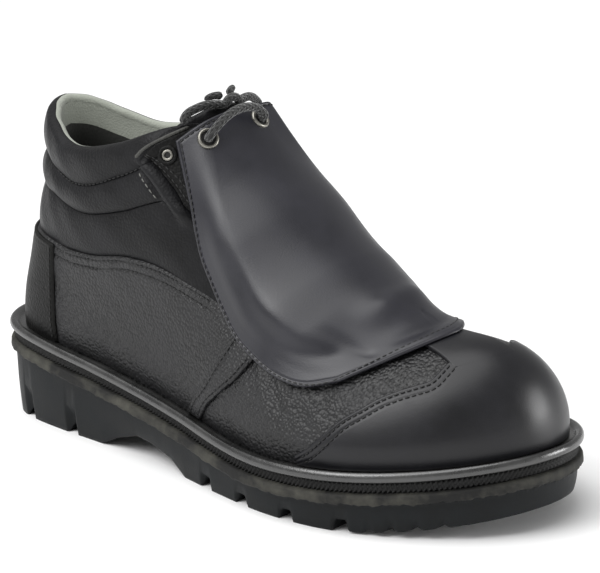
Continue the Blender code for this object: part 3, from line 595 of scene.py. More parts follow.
# Inset from the outline and depth below the bead's crest
wallProfile = ((0.003, 0.0086), (0.0016, 0.0088), (0.0008, 0.0093), (0.0005, 0.01), (0.0004, 0.0112),
    (0.0003, 0.0124), (0.0007, 0.0131), (0.0019, 0.0134), (0.0026, 0.014), (0.0026, 0.015))
grooveMask = np.zeros_like(share)
for at in lugGrooves:
    grooveMask = np.maximum(grooveMask, 1 - smooth(abs(share - at) * boot["length"],
        outsoleShape["grooveWidth"] * 0.7, outsoleShape["grooveWidth"] * 1.5))
teeth = 0.5 + 0.5 * np.cos(2 * np.pi * share * boot["length"] / 0.0095)
toeTeeth = smooth(share, 0.81, 0.83) * (1 - smooth(share, 0.91, 0.93)) * teeth ** 3
ragged = (0.0004 * np.sin(turns * 410) * np.sin(turns * 173 + 1) + 0.0003 * np.sin(turns * 1260 + 2)
    * np.sin(turns * 377))
rings = []
for inset, depth in wallProfile:
    x, y = outline(turns, inset)
    rings.append(np.stack([x, y, beadHeight(x) - depth + ragged * (depth > 0.012)], -1))
treadCut = np.maximum(grooveMask * outsoleShape["grooveDepth"], toeTeeth * outsoleShape["toothDepth"])
for level in (0.55, 0.35, 0.2, 0.08, 0.0):
    inset = 0.0026 + 0.0014 * (1 - level) ** 2
    x, y = outline(turns, inset)
    top, bottom = beadHeight(x) - 0.015, floorHeight(x)
    high = bottom + (top - bottom) * level
    pull = np.maximum(grooveMask * 0.0022, toeTeeth * 0.0012) * (level < 0.5)
    x, y = outline(turns, inset + pull)
    rings.append(np.stack([x, y, np.maximum(high, bottom + treadCut)], -1))
centreLine = boot["ballWidth"] * curve(outlineTable, 2, share)
for across in (0.94, 0.86, 0.78, 0.62, 0.6, 0.4, 0.2, 0.0):
    x, y = outline(turns, 0.0042)
    y = centreLine + (y - centreLine) * across
    edge = smooth(across, 0.56, 0.64)
    mid = 0.0018 * (1 - edge) * (smooth(share, 0.05, 0.08) * (1 - smooth(share, 0.23, 0.26)) + smooth(share, 0.47,
        0.5) * (1 - smooth(share, 0.9, 0.95)))
    rings.append(np.stack([x, y, floorHeight(x) + treadCut * edge + mid], -1))
outsole = gridPiece("outsoleRubber", np.array(rings), [soleRubber, dustyRubber], closed=True, flip=True,
    rowFinish=[int(row < outsoleShape["dustyRings"]) for row in range(len(rings))])
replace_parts(outsole, "outsole")
print("outsole made")

# Knurled groove under the bead: a hollow band crossed by slanted ribs, one each 2.1 mm
groove = {"columns": 3000, "pitch": 0.0021, "slant": 0.0016, "rib": 0.0011}
turns = np.arange(groove["columns"]) / groove["columns"]
x, y = outline(turns, 0.001)
run = np.concatenate([[0], np.cumsum(np.hypot(np.diff(x), np.diff(y)))])
ribs = round(run[-1] / groove["pitch"])
rings = []
for down, inset in ((0.004, 0.006), (0.0041, 0.0042), (0.0046, 0.0034), (0.0056, 0.0033), (0.0066, 0.0033),
        (0.0076, 0.0033), (0.0084, 0.003), (0.0087, 0.0036), (0.0087, 0.006)):
    phase = 2 * np.pi * (ribs * run / run[-1] + (down - 0.0062) * groove["slant"] / groove["pitch"] / 0.0021)
    rib = groove["rib"] * (0.5 + 0.5 * np.cos(phase)) ** 2 * (0.0043 < down < 0.0086)
    x, y = outline(turns, inset - rib)
    rings.append(np.stack([x, y, beadHeight(x) - down], -1))
midsole = gridPiece("knurledGroove", np.array(rings), grooveRubber, closed=True, flip=True)
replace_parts(midsole, "midsole")

# Welt: the bead is a half round lip on the rim, then a hollow and a flat that meets the upper
turns = np.arange(720) / 720
near = np.minimum(turns, 1 - turns)
rim = np.stack([*outline(turns, 0), 0 * turns], -1)
foot = outerSkin(turns, footShare(near), 0.0006)
profile = ((1.04, -0.0039), (1.04, -0.0008), (0.86, -0.001), (0.7, -0.0012), (0.6, -0.0013), (0.54, -0.001),
    (0.48, -0.0004), (0.4, 0.0), (0.31, 0.0003), (0.22, 0.0003), (0.14, 0.0), (0.07, -0.0007), (0.03, -0.0016),
    (0.02, -0.0024), (0.05, -0.0032), (0.12, -0.0038), (0.24, -0.004), (0.6, -0.004))
rings = []
for part, rise in profile:
    ring = rim + part * (foot - rim)
    ring[:, 2] = beadHeight(ring[:, 0]) + rise
    rings.append(ring)
rings.append(rings[0])
welt = gridPiece("weltBead", np.array(rings), beadRubber, closed=True, flip=True)
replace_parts(welt, "welt")
print("welt and groove made")

# Sock lining inside, a shallow dish that rises a little at its edge; its colour is the lining's darker copy,
# painted shade for the inside of the boot
turns = np.arange(240) / 240
edgeRing = outerSkin(turns, 0 * turns, -boot["wall"] - 0.0009)
centreRing = boot["ballWidth"] * curve(outlineTable, 2, turnShare(turns))
rings = []
for across in (1.0, 0.97, 0.9, 0.75, 0.5, 0.25, 0.0):
    x = edgeRing[:, 0] * (0.96 + 0.04 * across)
    y = centreRing + (edgeRing[:, 1] - centreRing) * across
    rings.append(np.stack([x, y, beadHeight(x) - 0.0009 - 0.0016 * (1 - across ** 4)], -1))
bottomRing = rings[0] - (0, 0, 0.0028)
insole = gridPiece("sockLining", np.array([bottomRing] + rings), liningPaintedShade, closed=True)
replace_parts(insole, "insole")


# Rows of v for one column each: steps inside every stretch between seams, closer together beside the seams
def stretch(low, high, count, bias):
    t = np.linspace(0, 1, count, endpoint=False)
    if bias == "end":
        t = 1 - (1 - t) ** 1.7
    if bias == "both":
        t = 0.5 - 0.5 * np.cos(np.pi * t)
    return low[None, :] + t[:, None] * (high - low)[None, :]


# Upper, outside: rows follow the quarter's top seam and both grooves, then a half circle turns over the rim
upperShape = {"columns": 600, "rim": 0.0021, "rimFront": 0.0011, "stitchedGroove": 0.0055}


# Radius of the rim's roll and the share of the way up where the roll starts
def rimAt(near):
    radius = upperShape["rim"] * (1 - smooth(near, 0.17, 0.26)) + upperShape["rimFront"]
    return radius, 1 - radius / wayUp(near)


turns = np.arange(upperShape["columns"]) / upperShape["columns"]
near = np.minimum(turns, 1 - turns)
rimRadius, rimShare = rimAt(near)
low, middle, high = (curve(tierTable, k, near) for k in (1, 2, 3))
shares = np.concatenate([stretch(0 * near, low, 62, "end"), stretch(low, middle, 26, "both"),
    stretch(middle, high, 24, "both"), stretch(high, rimShare, 20, "both"), rimShare[None, :]])
turnGrid = np.broadcast_to(turns, shares.shape)
nearGrid = np.minimum(turnGrid, 1 - turnGrid)
skin, normal = upperPoint(turnGrid, shares)
below = (low - shares) * wayUp(near)
quarter = 1 - smooth(nearGrid, 0.262, 0.275)
rise = padding(turnGrid, shares)
rise = rise + quarter * np.where(shares < low, -0.0005 * (1 - smooth(below, 0, 0.0007)), 0)
rise = rise + quarter * np.where(shares < low, trough(below - upperShape["stitchedGroove"], 0.0007,
    0.0005) + trough(below - 0.0018, 0.0006, 0.0002), 0)
# Walking creases in the vamp, wider than deep, running down and forward from the guard's edge
for at, lean, deep in ((0.292, 0.03, 0.0006), (0.306, 0.04, 0.0008), (0.322, 0.045, 0.0006), (0.34, 0.05, 0.0005)):
    line = at + lean * (0.45 - shares)
    gap = (nearGrid - line) * 0.62
    rise = rise + trough(gap, 0.0032, deep) * smooth(shares, 0.1, 0.22) * (1 - smooth(shares, 0.5, 0.7))
# Slow unevenness of leather pulled over a last by hand
rise = rise + 0.00022 * np.sin(nearGrid * 140 + shares * 9) * np.sin(shares * 23 + nearGrid * 31 + 1.0)
skin = skin + normal * rise[..., None]
upward = skin[-1] - skin[-3]
upward /= np.linalg.norm(upward, axis=-1, keepdims=True)
angles = np.linspace(0, np.pi, 15)[1:]
centre = skin[-1] - normal[-1] * rimRadius[:, None]
roll = [centre + rimRadius[:, None] * (cos(a) * normal[-1] + sin(a) * upward) for a in angles]
outside = np.concatenate([skin, np.array(roll)])
rows = len(outside)
rowShare = np.concatenate([shares, np.repeat(shares[-1:], rows - len(shares), 0)])
front = curve(rollTable, 2, rowShare)
faceFinish = ((rowShare >= low - 1e-6) & (near < np.maximum(front + 0.03,
    0.262 * (rowShare > 0.9))))[:-1].astype(int)
faceFinish[len(shares) + 6:] = 2
upperOutside = addPiece("upperLeather", outside.reshape(-1, 3), gridFaces(rows, upperShape["columns"],
    closed=True), [grainLeather, padLeather, lining], faceFinish.ravel())
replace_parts(upperOutside, "upper")
print("upper made")

# Lining: from the rim's inner edge down to the sock, its padding thinning to the plain wall. Below its first seven
# rows it takes the lining's darker copy, painted shade deeper inside
columns = 300
turns = np.arange(columns) / columns
near = np.minimum(turns, 1 - turns)
rimRadius, rimShare = rimAt(near)
down = np.linspace(0, 1, 44) ** 1.3
shares = rimShare[None, :] * (1 - down[:, None])
turnGrid = np.broadcast_to(turns, shares.shape)
skin, normal = upperPoint(turnGrid, shares)
thick = boot["wall"] + (2 * rimRadius - boot["wall"] - padding(turnGrid,
    rimShare[None, :] + 0 * shares)) * (1 - smooth(down[:, None], 0.25, 0.6))
fold = 0.001 * np.sin(np.pi * smooth(down[:, None], 0.02, 0.25)) * (1 - smooth(near, 0.17, 0.24))
inside = skin - normal * (thick + fold)[..., None]
liningPiece = gridPiece("collarLining", inside, [lining, liningPaintedShade], closed=True, rowFinish=[0] * 7 + [1] * 37)
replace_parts(liningPiece, "upper")


# Points and normals of the last at each turn, at shares t of the way from the foot line to the top line
def upperGrid(turns, foot, top, t):
    v = foot[None, :] + t[:, None] * (top - foot)[None, :]
    return upperPoint(np.broadcast_to(turns, v.shape), v)


# Leather laid over the upper between two edge lines in turns and shares, with a rounded edge
def overlayGrids(rear, front, look):
    rows, columns = look["rows"], look["columns"]
    across = 0.5 - 0.5 * np.cos(np.pi * np.linspace(0, 1, columns))
    u = rear[0][:, None] * (1 - across) + front[0][:, None] * across
    v = rear[1][:, None] * (1 - across) + front[1][:, None] * across
    p, n = upperPoint(u, v)
    grid = p + n * padding(u, v)[..., None]
    gap = distanceTo(grid, borderOf(grid))
    lift = look["bottom"] + look["thick"] - rounded(gap, look["round"])
    return grid + n * lift[..., None], grid + n * look["bottom"], u, v


# Turns and shares at equal steps along two columns of a table, on the inner side mirrored to 1 - turn
def tableLine(table, first, second, count, side):
    at = np.linspace(0, len(table) - 1, count)
    full = np.column_stack([np.arange(len(table), dtype=float), table])
    turn = curve(full, first + 1, at)
    return turn if side > 0 else 1 - turn, curve(full, second + 1, at)


# Closed shell of two grids of one size joined round their border
def shellArrays(outer, inner, flip=False):
    rows, columns = outer.shape[:2]
    count = rows * columns
    border = np.concatenate([np.arange(columns), np.arange(1, rows) * columns + columns - 1,
        (rows - 1) * columns + np.arange(columns - 2, -1, -1), np.arange(rows - 2, 0, -1) * columns])
    after = np.roll(border, -1)
    rim = np.stack([border, border + count, after + count, after], -1)
    faces = np.concatenate([gridFaces(rows, columns), gridFaces(rows, columns, flip=True) + count, rim])
    return np.concatenate([outer.reshape(-1, 3), inner.reshape(-1, 3)]), faces[:, ::-1] if flip else faces


# Several points and faces as one
def joined(blocks):
    points, faces, base = [], [], 0
    for p, f in blocks:
        points.append(p)
        faces.append(f + base)
        base += len(p)
    return np.concatenate(points), np.concatenate(faces)


# A line laid on the last beside another: each point moved sideways by gap, then set back on the surface
def besideLine(points, normals, gap, lift):
    along = np.gradient(points, axis=0)
    along /= np.linalg.norm(along, axis=1, keepdims=True)
    sideways = np.cross(normals, along)
    p, n = snap(points + sideways * gap, normals)
    return p + n * lift, n


# Round cord swept along a path with a frame carried along it; UV is metres along and turns around
def cordArrays(path, radius, taper=0.0):
    path = np.asarray(path, float)
    steps = np.concatenate([[0], np.cumsum(np.linalg.norm(np.diff(path, axis=0), axis=1))])
    table = np.column_stack([steps, path])
    count = max(int(steps[-1] / 0.0006), 12)
    at = np.linspace(0, steps[-1], count)
    path = np.column_stack([curve(table, k, at) for k in (1, 2, 3)])
    along = np.gradient(path, axis=0)
    along /= np.linalg.norm(along, axis=1, keepdims=True)
    side = np.cross(along[0], (0.3, 0.2, 1.0))
    sides = []
    for t in along:
        side = side - t * np.dot(side, t)
        side = side / np.linalg.norm(side)
        sides.append(side)
    sides = np.array(sides)
    others = np.cross(along, sides)
    around = np.arange(15) * 2 * np.pi / 14
    size = radius * np.ones(count)
    ends = np.minimum(at, at[-1] - at)
    size = size * np.sqrt(1 - (1 - np.clip(ends / (radius * 0.9), 0.02, 1)) ** 2)
    size = size * (1 - taper * at / at[-1])
    grid = path[:, None] + size[:, None, None] * (np.cos(around)[None, :, None] * sides[:,
        None] + np.sin(around)[None, :, None] * others[:, None])
    uv = np.stack([np.broadcast_to(at[:, None], grid.shape[:2]), np.broadcast_to(around / (2 * np.pi),
        grid.shape[:2])], -1)
    return grid.reshape(-1, 3), gridFaces(count, 15), uv.reshape(-1, 2)


overlayLift = boot["laid"] + boot["overlay"]

# Toe cap, cut back in a curve at each side, with a lobe that runs up under the guard's lip
capSeam = np.array([(0.322, 0.06), (0.332, 0.095), (0.344, 0.145), (0.358, 0.205), (0.374, 0.255), (0.388, 0.295),
    (0.404, 0.325), (0.416, 0.338), (0.428, 0.35), (0.438, 0.375), (0.446, 0.395)])
capShape = {"rows": 46, "half": 180, "round": 0.0009, "bottom": 0.0002, "lobeRound": 0.0008, "lobeLift": 0.00003}
half = np.linspace(0.3222, 0.446, capShape["half"])
crown = np.linspace(0.446, 0.554, 61)[1:-1]
capTurns = np.concatenate([half, crown, 1 - half[::-1]])
seamShare = np.concatenate([curve(capSeam, 1, half), np.full(len(crown), 0.395), curve(capSeam, 1, half)[::-1]])
footLine = footShare(np.minimum(capTurns, 1 - capTurns))
t = np.linspace(0, 1, capShape["rows"])
t = 1 - (1 - t) ** 1.5
p, n = upperGrid(capTurns, footLine, seamShare, t)
seamPoints, seamNormals = p[-1], n[-1]
gap = distanceTo(p, np.concatenate([seamPoints[:capShape["half"]], seamPoints[-capShape["half"]:]]))
lift = overlayLift - rounded(gap, capShape["round"])
lift = lift + trough(gap - 0.0018, 0.0005, 0.00022) + trough(gap - 0.0043, 0.0005, 0.00022)
capBlocks = [shellArrays(p + n * lift[..., None], p + n * capShape["bottom"])]
lobeTurns = np.concatenate([[0.4475], np.linspace(0.4475, 0.504, 60), [0.504]])
lobeTable = np.array([(0.4475, 0.6), (0.46, 0.615), (0.473, 0.622), (0.487, 0.625), (0.5, 0.625)])
lobeSeam = curve(lobeTable, 1, np.minimum(lobeTurns, 1 - lobeTurns))
t = np.append(np.linspace(0, 1, 30), 1.0)
p, n = upperGrid(lobeTurns, np.full(len(lobeTurns), 0.375), lobeSeam, t)
gap = distanceTo(p, np.concatenate([p[:, 0], p[:, -1], p[-1]]))
lift = overlayLift + capShape["lobeLift"] - rounded(gap, capShape["lobeRound"])
lift[:, 0] = lift[:, -1] = lift[-1] = capShape["bottom"]
capBlocks.append(((p + n * lift[..., None]).reshape(-1, 3), gridFaces(*p.shape[:2])))
toeCap = addPiece("toeCapLeather", *joined(capBlocks), capLeather)
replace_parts(toeCap, "toe_cap")

capLines = []
for part in (slice(6, capShape["half"]), slice(-capShape["half"], -6)):
    for gapSize in (0.0018, 0.0043):
        capLines.append(besideLine(seamPoints[part], seamNormals[part], -gapSize, overlayLift - 0.00002))
capStitches = stitchRow("toeCapStitches", capLines, thread)
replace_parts(capStitches, "toe_cap")
print("toe cap made")

# Back strip up the heel, from the welt to just under the quarter's top seam
stripTurns = np.linspace(-0.121, 0.121, 90)
t = np.linspace(0, 1, 60)
stripTop = curve(tierTable, 1, abs(stripTurns)) - 0.006
stripFoot = footShare(abs(stripTurns))
p, n = upperGrid(stripTurns % 1.0, stripFoot, stripTop, t)
gap = distanceTo(p, np.concatenate([p[:, 0], p[:, -1], p[-1]]))
lift = overlayLift + 0.0002 - rounded(gap, 0.0009)
lift = lift + trough(gap - 0.002, 0.0005, 0.0002)
stripPiece = addPiece("backStripLeather", *shellArrays(p + n * lift[..., None], p + n * 0.0002), stripLeather)
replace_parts(stripPiece, "back_strip")
stripLines = [besideLine(p[2:-2, 0], n[2:-2, 0], -0.002, overlayLift + 0.0002),
    besideLine(p[2:-2, -1], n[2:-2, -1], 0.002, overlayLift + 0.0002)]
stripStitches = stitchRow("backStripStitches", stripLines, thread)
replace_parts(stripStitches, "back_strip")

# Band over the joint of vamp and quarter, and the eyestay with a turned edge, on both sides
bandTable = np.array([(0.239, 0.036, 0.25, 0.036), (0.25, 0.11, 0.262, 0.115), (0.26, 0.17, 0.272, 0.165),
    (0.274, 0.27, 0.286, 0.23), (0.284, 0.34, 0.298, 0.3), (0.292, 0.4, 0.308, 0.36)])
stayTable = np.array([(0.229, 0.925, 0.238, 0.952), (0.24, 0.86, 0.252, 0.972), (0.25, 0.79, 0.264, 0.985),
    (0.26, 0.715, 0.28, 0.985), (0.276, 0.69, 0.305, 0.985), (0.3, 0.68, 0.34, 0.985), (0.345, 0.7, 0.375, 0.985),
    (0.39, 0.76, 0.405, 0.985)])
for side, ending in ((1, "outer"), (-1, "inner")):
    look = {"rows": 90, "columns": 26, "round": 0.0009, "bottom": 0.0002, "thick": overlayLift - 0.0002}
    rear, front = (tableLine(bandTable, k, k + 1, look["rows"], side) for k in (0, 2))
    outer, inner, u, v = overlayGrids(rear, front, look)
    band = addPiece(ending + "BandLeather", *shellArrays(outer, inner, flip=side < 0), grainLeather)
    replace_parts(band, "band_" + ending)
    lines = []
    for column, way in ((0, 1), (-1, -1)):
        edge, edgeNormal = upperPoint(u[2:-2, column], v[2:-2, column])
        lines.append(besideLine(edge, edgeNormal, -0.0018 * way * side, overlayLift + 0.0004))
    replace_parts(stitchRow(ending + "BandStitches", lines, thread), "band_" + ending)
    look = {"rows": 160, "columns": 30, "round": 0.0011, "bottom": 2 * boot["laid"], "thick": boot["overlay"]}
    rear, front = (tableLine(stayTable, k, k + 1, look["rows"], side) for k in (0, 2))
    outer, inner, u, v = overlayGrids(rear, front, look)
    stay = addPiece(ending + "EyestayLeather", *shellArrays(outer, inner, flip=side > 0), stripLeather)
    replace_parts(stay, "eyestay_" + ending)
    lines = []
    for across in (0.08, 0.18):
        su, sv = (edges[2:-2, 0] * (1 - across) + edges[2:-2, -1] * across for edges in (u, v))
        line, lineNormal = upperPoint(su, sv)
        lines.append((line + lineNormal * (padding(su, sv) + 2 * boot["laid"] + boot["overlay"])[:, None],
            lineNormal))
    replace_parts(stitchRow(ending + "EyestayStitches", lines, thread), "eyestay_" + ending)
    pipeTable = np.array([(0.2235, 0.925), (0.231, 0.946), (0.243, 0.963), (0.258, 0.985)])
    pipeTurn, pipeShare = tableLine(pipeTable, 0, 1, 60, side)
    line, lineNormal = upperPoint(pipeTurn, pipeShare)
    line = line + lineNormal * (padding(pipeTurn, pipeShare) + 2 * boot["laid"] + 0.8 * boot["overlay"])[:, None]
    points, faces, _ = cordArrays(line, 0.0007)
    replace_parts(addPiece(ending + "EyestayPiping", points, faces, edgeLeather), "eyestay_" + ending)
print("overlays made")

# Stitches of the quarter's top seam and its second groove, and in the upper groove
seamLines = []
for lowTurn, highTurn in ((0.122, 0.268), (0.732, 0.878)):
    u = np.linspace(lowTurn, highTurn, 160)
    w = np.minimum(u, 1 - u)
    for column, gapSize in ((1, 0.0018), (1, upperShape["stitchedGroove"]), (3, -0.0002)):
        keep = (w < 0.224) | (column < 3)
        v = curve(tierTable, column, w) - gapSize / wayUp(w)
        p, n = upperPoint(u[keep], v[keep])
        lift = padding(u[keep], v[keep]) - (0.0004 if column == 1 and gapSize > 0.002 else 0.0001)
        if column == 3:
            lift = 0 * lift - pads["sink"] + 0.0006
        seamLines.append((p + n * lift[:, None], n))
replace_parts(stitchRow("quarterStitches", seamLines, thread), "upper")
tierEnds = []
for side in (1, -1):
    v = np.linspace(0.765, 0.87, 30)
    w = curve(rollTable, 1, v) - 0.0042
    p, n = upperPoint(w if side > 0 else 1 - w, v)
    tierEnds.append((p + n * (padding(w, v) + 0.0001)[:, None], n))
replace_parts(stitchRow("tierEndStitches", tierEnds, paleThread), "upper")
print("stitches made")

# Guard: a shell with a rounded border. Lengths in metres
guardShape = {"rows": 180, "columns": 260, "round": 0.0009, "stitch": 0.0017, "dent": 0.0011, "dentWidth": 0.0038,
    "ridge": 0.0034, "fold": 0.0008}
# The insert's edge: share of the way down, place across from -1 to 1
insertLine = np.array([(0.18, -0.58), (0.3, -0.61), (0.43, -0.63), (0.63, -0.65), (0.77, -0.69), (0.85, -0.69),
    (0.905, -0.6), (0.925, -0.46), (0.95, -0.19), (0.935, 0.08)])


# Both faces of the guard off the last: the insert stands up in the middle, its edge is a soft trough along the
# insert line, and the lip flares in a bell shaped ridge with a smaller drop below it and a fold at its outer end
def guardFace(a, b):
    p, n = wrap(guardTable, a, b)
    middle = smooth(1 - abs(a), 0.0, 0.42)
    base = 0.0021 + 0.0007 * (1 - smooth(b, 0.45, 0.7)) + middle * 0.0056 * (1 - smooth(b, 0.74, 0.985))
    base = base + 0.0035 * smooth(a, 0.3, 1.0) * (1 - smooth(b, 0.0, 0.35))
    insert = smooth(1 - abs(a), 0.16, 0.46) * smooth(b, 0.15, 0.5) * (1 - smooth(b, 0.84, 0.97))
    at = np.linspace(0, len(insertLine) - 1, 400)
    table = np.column_stack([np.arange(len(insertLine)), insertLine])
    crease, _ = wrap(guardTable, curve(table, 2, at), curve(table, 1, at))
    strength = smooth(b, 0.3, 0.6) * (1 - 0.9 * smooth(a, -0.64, -0.4))
    dent = trough(distanceTo(p, crease), guardShape["dentWidth"], guardShape["dent"]) * strength
    across = smooth(a, -0.36, -0.12) * (1 - smooth(a, 0.04, 0.3))
    hump = np.exp(-((b - 0.9) / 0.032) ** 2) - 0.4 * np.exp(-((b - 0.966) / 0.011) ** 2)
    fold = np.exp(-((a + 0.46) / 0.05) ** 2) * smooth(b, 0.85, 0.91) * (1 - smooth(b, 0.95, 0.985))
    rise = dent + guardShape["ridge"] * hump * across - guardShape["fold"] * fold
    return p, n, base + 0.0014 + 0.003 * insert + rise, base + 0.0012 * insert + np.minimum(rise, 0)


a = np.sin(np.linspace(-1, 1, guardShape["columns"]) * np.pi / 2)
a = 0.6 * a + 0.4 * np.linspace(-1, 1, guardShape["columns"])
b = 0.5 - 0.5 * np.cos(np.linspace(0, np.pi, guardShape["rows"]))
b = 0.6 * b + 0.4 * np.linspace(0, 1, guardShape["rows"])
aGrid, bGrid = np.meshgrid(a, b)
p, n, outer, inner = guardFace(aGrid, bGrid)
face = p + n * outer[..., None]
edgeGap = distanceTo(face, borderOf(face))
outer = outer - rounded(edgeGap, guardShape["round"])
outer = outer + trough(edgeGap - guardShape["stitch"], 0.0005, 0.0003)
guard = addPiece("metGuardLeather", *shellArrays(p + n * outer[..., None], p + n * inner[..., None], flip=True),
    guardLeather)
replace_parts(guard, "met_guard")


# Row of the guard's stitches at a distance inside its edge
def guardLine(gapSize):
    sides = []
    for fixed, side in (("a", -1), ("b", 1), ("a", 1), ("b", 0)):
        if fixed == "a":
            bs = np.linspace(0.02, 0.98, 160)
            span = np.linalg.norm(np.diff(wrap(guardTable, np.linspace(-1, 1, 60)[None, :] + 0 * bs[:, None],
                bs[:, None] + np.zeros((1, 60)))[0], axis=1), axis=2).sum(1)
            ua, ub = side * (1 - 2 * gapSize / span), bs
        else:
            ub = np.full(160, side + (1 - 2 * side) * gapSize / 0.118)
            ua = np.linspace(-0.96, 0.96, 160)
        q, m, top, _ = guardFace(ua, ub)
        sides.append((q + m * (top - 0.0002)[:, None], m))
    return sides


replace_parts(stitchRow("guardStitches", guardLine(guardShape["stitch"]), thread), "met_guard")
print("guard made")

# Tongue under the guard
aGrid, bGrid = np.meshgrid(np.linspace(-1, 1, 60), np.linspace(0, 1, 70))
p, n = wrap(tongueTable, aGrid, bGrid)
top = -0.0039 + 0.0031 * smooth(0.42 - abs(aGrid), 0, 0.2) * (1 - smooth(bGrid, 0.72, 0.9))
edgeGap = distanceTo(p, borderOf(p))
rounding = rounded(edgeGap, 0.0014)
tongue = addPiece("tongueLeather", *shellArrays(p + n * (top - rounding)[..., None],
    p + n * (top - 0.0035 + rounding)[..., None], flip=True), padLeather)
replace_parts(tongue, "tongue")


# Unit axis and the spokes of a circle round it
def spokes(axis, count):
    axis = np.asarray(axis) / np.linalg.norm(axis)
    side = np.cross(axis, (0.0, 1.0, 0.3))
    side /= np.linalg.norm(side)
    other = np.cross(axis, side)
    around = np.arange(count) * 2 * np.pi / count
    return axis, np.cos(around)[:, None] * side + np.sin(around)[:, None] * other


# Ring turned round a normal: half a wave of height over the width, swept in a circle
def ringArrays(centre, axis, look):
    axis, spoke = spokes(axis, 36)
    section = np.linspace(0, np.pi, 9)
    reach = look["hole"] + look["width"] * (0.5 - 0.5 * np.cos(section))
    rise = look["height"] * np.sin(section) ** 0.8
    reach = np.concatenate([[look["hole"] * 0.96], reach, [look["hole"] + look["width"]]])
    rise = np.concatenate([[-0.0012], rise, [-0.0008]])
    rings = centre + reach[:, None, None] * spoke[None] + rise[:, None, None] * axis
    return rings.reshape(-1, 3), gridFaces(len(reach), 36, closed=True, flip=True)


# Dark disc over a hole: painted shade standing in for the darkness inside it
def shadeDiscArrays(centre, axis, radius):
    rings = centre + np.array([0.02, 0.5, 1.0])[:, None, None] * radius * spokes(axis, 24)[1][None]
    return rings.reshape(-1, 3), gridFaces(3, 24, closed=True, flip=True)


# Turn, share of the way up, and how far the eyelet sits off the leather
eyeletPlaces = ((0.246, 0.905, 0.0004), (0.266, 0.85, 0.0004), (0.286, 0.85, 0.0006))
for side, ending in ((1, "outer"), (-1, "inner")):
    for number, (w, v, seat) in enumerate(eyeletPlaces, 1):
        u = w if side > 0 else 1 - w
        p, n = upperPoint(np.array([u]), np.array([v]))
        centre = (p + n * (padding(np.array([u]), np.array([v])) + 2 * boot["laid"] + boot["overlay"] + seat)[:,
            None])[0]
        flange = {"hole": 0.0026, "width": 0.0016, "height": 0.0008}
        ring = {"hole": 0.0012, "width": 0.0013, "height": 0.0009}
        # The Hole part is a near-black disc: painted shade in the eyelet's hole
        for part, arrays, finish in (("Flange", ringArrays(centre, n[0], flange), stripLeather),
                ("", ringArrays(centre, n[0], ring), eyeletNickel), ("Hole", shadeDiscArrays(centre + n[0] * 0.0001,
                n[0], 0.0027), grooveRubber)):
            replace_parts(addPiece(f"{ending}Eyelet{part}{number}", *arrays, finish), f"eyelet_{ending}_{number}")
guardHoles = {"outer": (-0.62, 0.07), "inner": (0.18, 0.07)}
for ending, (a, b) in guardHoles.items():
    q, m, top, _ = guardFace(np.array([a]), np.array([b]))
    centre = q[0] + m[0] * top[0]
    ring = {"hole": 0.003, "width": 0.0016, "height": 0.0011}
    # The Hole part is a near-black disc: painted shade in the guard eyelet's hole
    for part, arrays, finish in (("", ringArrays(centre, m[0], ring), eyeletNickel),
            ("Hole", shadeDiscArrays(centre + m[0] * 0.0002, m[0], 0.0031), grooveRubber)):
        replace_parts(addPiece(f"{ending}GuardEyelet{part}", *arrays, finish), "guard_eyelet_" + ending)
print("eyelets made")


# Piece swept along a path in the lace's braid
def cordPiece(name, path, radius, taper=0.0):
    points, faces, uv = cordArrays(path, radius, taper)
    return addPiece(name, points, faces, laceBraid, uv=uv)


laceRadius = boot["lace"] / 2
t = np.linspace(-1, 1, 25)
q, m, top, _ = guardFace(-0.22 + 0.4 * t, 0.07 - 0.05 * (1 - t ** 2))
archPath = q + m * (top + 0.001 + laceRadius + 0.0022 * (1 - t ** 4))[:, None]
q, m, top, _ = guardFace(*np.array(list(guardHoles.values())).T)
archPath = np.concatenate([[q[0] + m[0] * (top[0] - 0.0005)], archPath, [q[1] + m[1] * (top[1] - 0.0005)]])
arch = cordPiece("laceOverGuard", archPath, laceRadius)
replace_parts(arch, "guard_lace")

# Crossings over the tongue: plain diagonals between the levels of the eyelets
levels = (0.09, 0.21, 0.33)
blocks, uvs = [], []
for start, end, upper, lower in ((-0.23, 0.23, 0, 1), (0.23, -0.23, 0, 1), (-0.23, 0.23, 1, 2),
        (0.23, -0.23, 1, 2), (-0.23, 0.23, 2, 2)):
    t = np.linspace(0, 1, 14)
    q, m = wrap(guardTable, start + (end - start) * t, levels[upper] + (levels[lower] - levels[upper]) * t)
    points, faces, uv = cordArrays(q + m * 0.0057, laceRadius)
    blocks.append((points, faces))
    uvs.append(uv)
crossings = addPiece("laceCrossings", *joined(blocks), laceBraid, uv=np.concatenate(uvs))
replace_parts(crossings, "lace_crossings")


# Points given as shares of length, ball width and height
def sharePath(points):
    points = np.array(points)
    return np.column_stack([(points[:, 0] - 0.5) * boot["length"], points[:, 1] * boot["ballWidth"],
        points[:, 2] * boot["height"]])


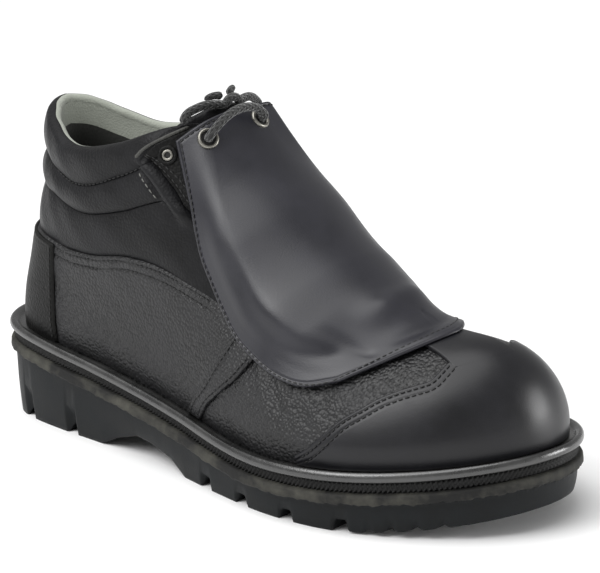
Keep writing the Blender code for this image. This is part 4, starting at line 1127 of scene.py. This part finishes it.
bowPath = sharePath(((0.425, -0.212, 1.024), (0.423, -0.202, 1.037), (0.423, -0.18, 1.05), (0.427, -0.148, 1.06),
    (0.431, -0.106, 1.066), (0.435, -0.06, 1.063), (0.438, -0.028, 1.06), (0.44, -0.005, 1.074),
    (0.44, 0.028, 1.074), (0.438, 0.052, 1.06), (0.434, 0.084, 1.061), (0.431, 0.12, 1.061), (0.427, 0.154, 1.054),
    (0.423, 0.18, 1.044), (0.422, 0.198, 1.032), (0.424, 0.206, 1.02)))
bow = cordPiece("laceBow", bowPath, laceRadius)
outerEnd = cordPiece("laceEndOuter", sharePath(((0.429, -0.01, 1.079), (0.424, -0.022, 1.081),
    (0.419, -0.034, 1.08), (0.411, -0.06, 1.071))), laceRadius, 0.35)
innerEnd = cordPiece("laceEndInner", sharePath(((0.426, 0.03, 1.078), (0.4245, 0.042, 1.085), (0.423, 0.054, 1.09),
    (0.42, 0.076, 1.094))), laceRadius, 0.35)
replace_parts(bow, "lace_knot", "lace_loop_outer", "lace_loop_inner")
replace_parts(outerEnd, "lace_end_outer")
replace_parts(innerEnd, "lace_end_inner")
print("laces made")

# Floor, white surroundings and soft lights
floorMaterial = newMaterial("studio_sweep_white", {"Base Color": srgb("#fbfbfb"), "Roughness": 0.9})[0]
floorMesh = bpy.data.meshes.new("floor")
reach = 9
floorMesh.from_pydata([(-reach, -reach, 0), (reach, -reach, 0), (reach, reach, 0), (-reach, reach, 0)], [],
    [(0, 1, 2, 3)])
floorMesh.materials.append(floorMaterial)
floor = bpy.data.objects.new("floor", floorMesh)
bpy.context.scene.collection.objects.link(floor)
world = bpy.data.worlds.new("studio")
bpy.context.scene.world = world
world.use_nodes = True
world.node_tree.nodes["Background"].inputs["Color"].default_value = (1, 1, 1, 1)
world.node_tree.nodes["Background"].inputs["Strength"].default_value = 0.42


# Lamp at a place that shines along a way
def addLamp(name, kind, energy, place, way, **settings):
    lamp = bpy.data.lights.new(name, kind)
    lamp.energy = energy
    for key, value in settings.items():
        setattr(lamp, key, value)
    lampObject = bpy.data.objects.new(name, lamp)
    lampObject.location = place
    lampObject.rotation_euler = way.to_track_quat("-Z", "Y").to_euler()
    bpy.context.scene.collection.objects.link(lampObject)


for name, place, size, power in (("softboxLeft", (-0.42, -1.15, 1.05), 0.9, 11.0),
        ("softboxRight", (1.02, 0.66, 0.14), 0.5, 7.4)):
    addLamp(name, "AREA", power, place, Vector((0, 0, 0.07)) - Vector(place), shape="SQUARE", size=size)
addLamp("overheadSheet", "SUN", 2.1, (0, 0, 2), Vector((0.15, 0.3, -0.94)), angle=radians(62))
bpy.context.scene.view_settings.view_transform = "Standard"
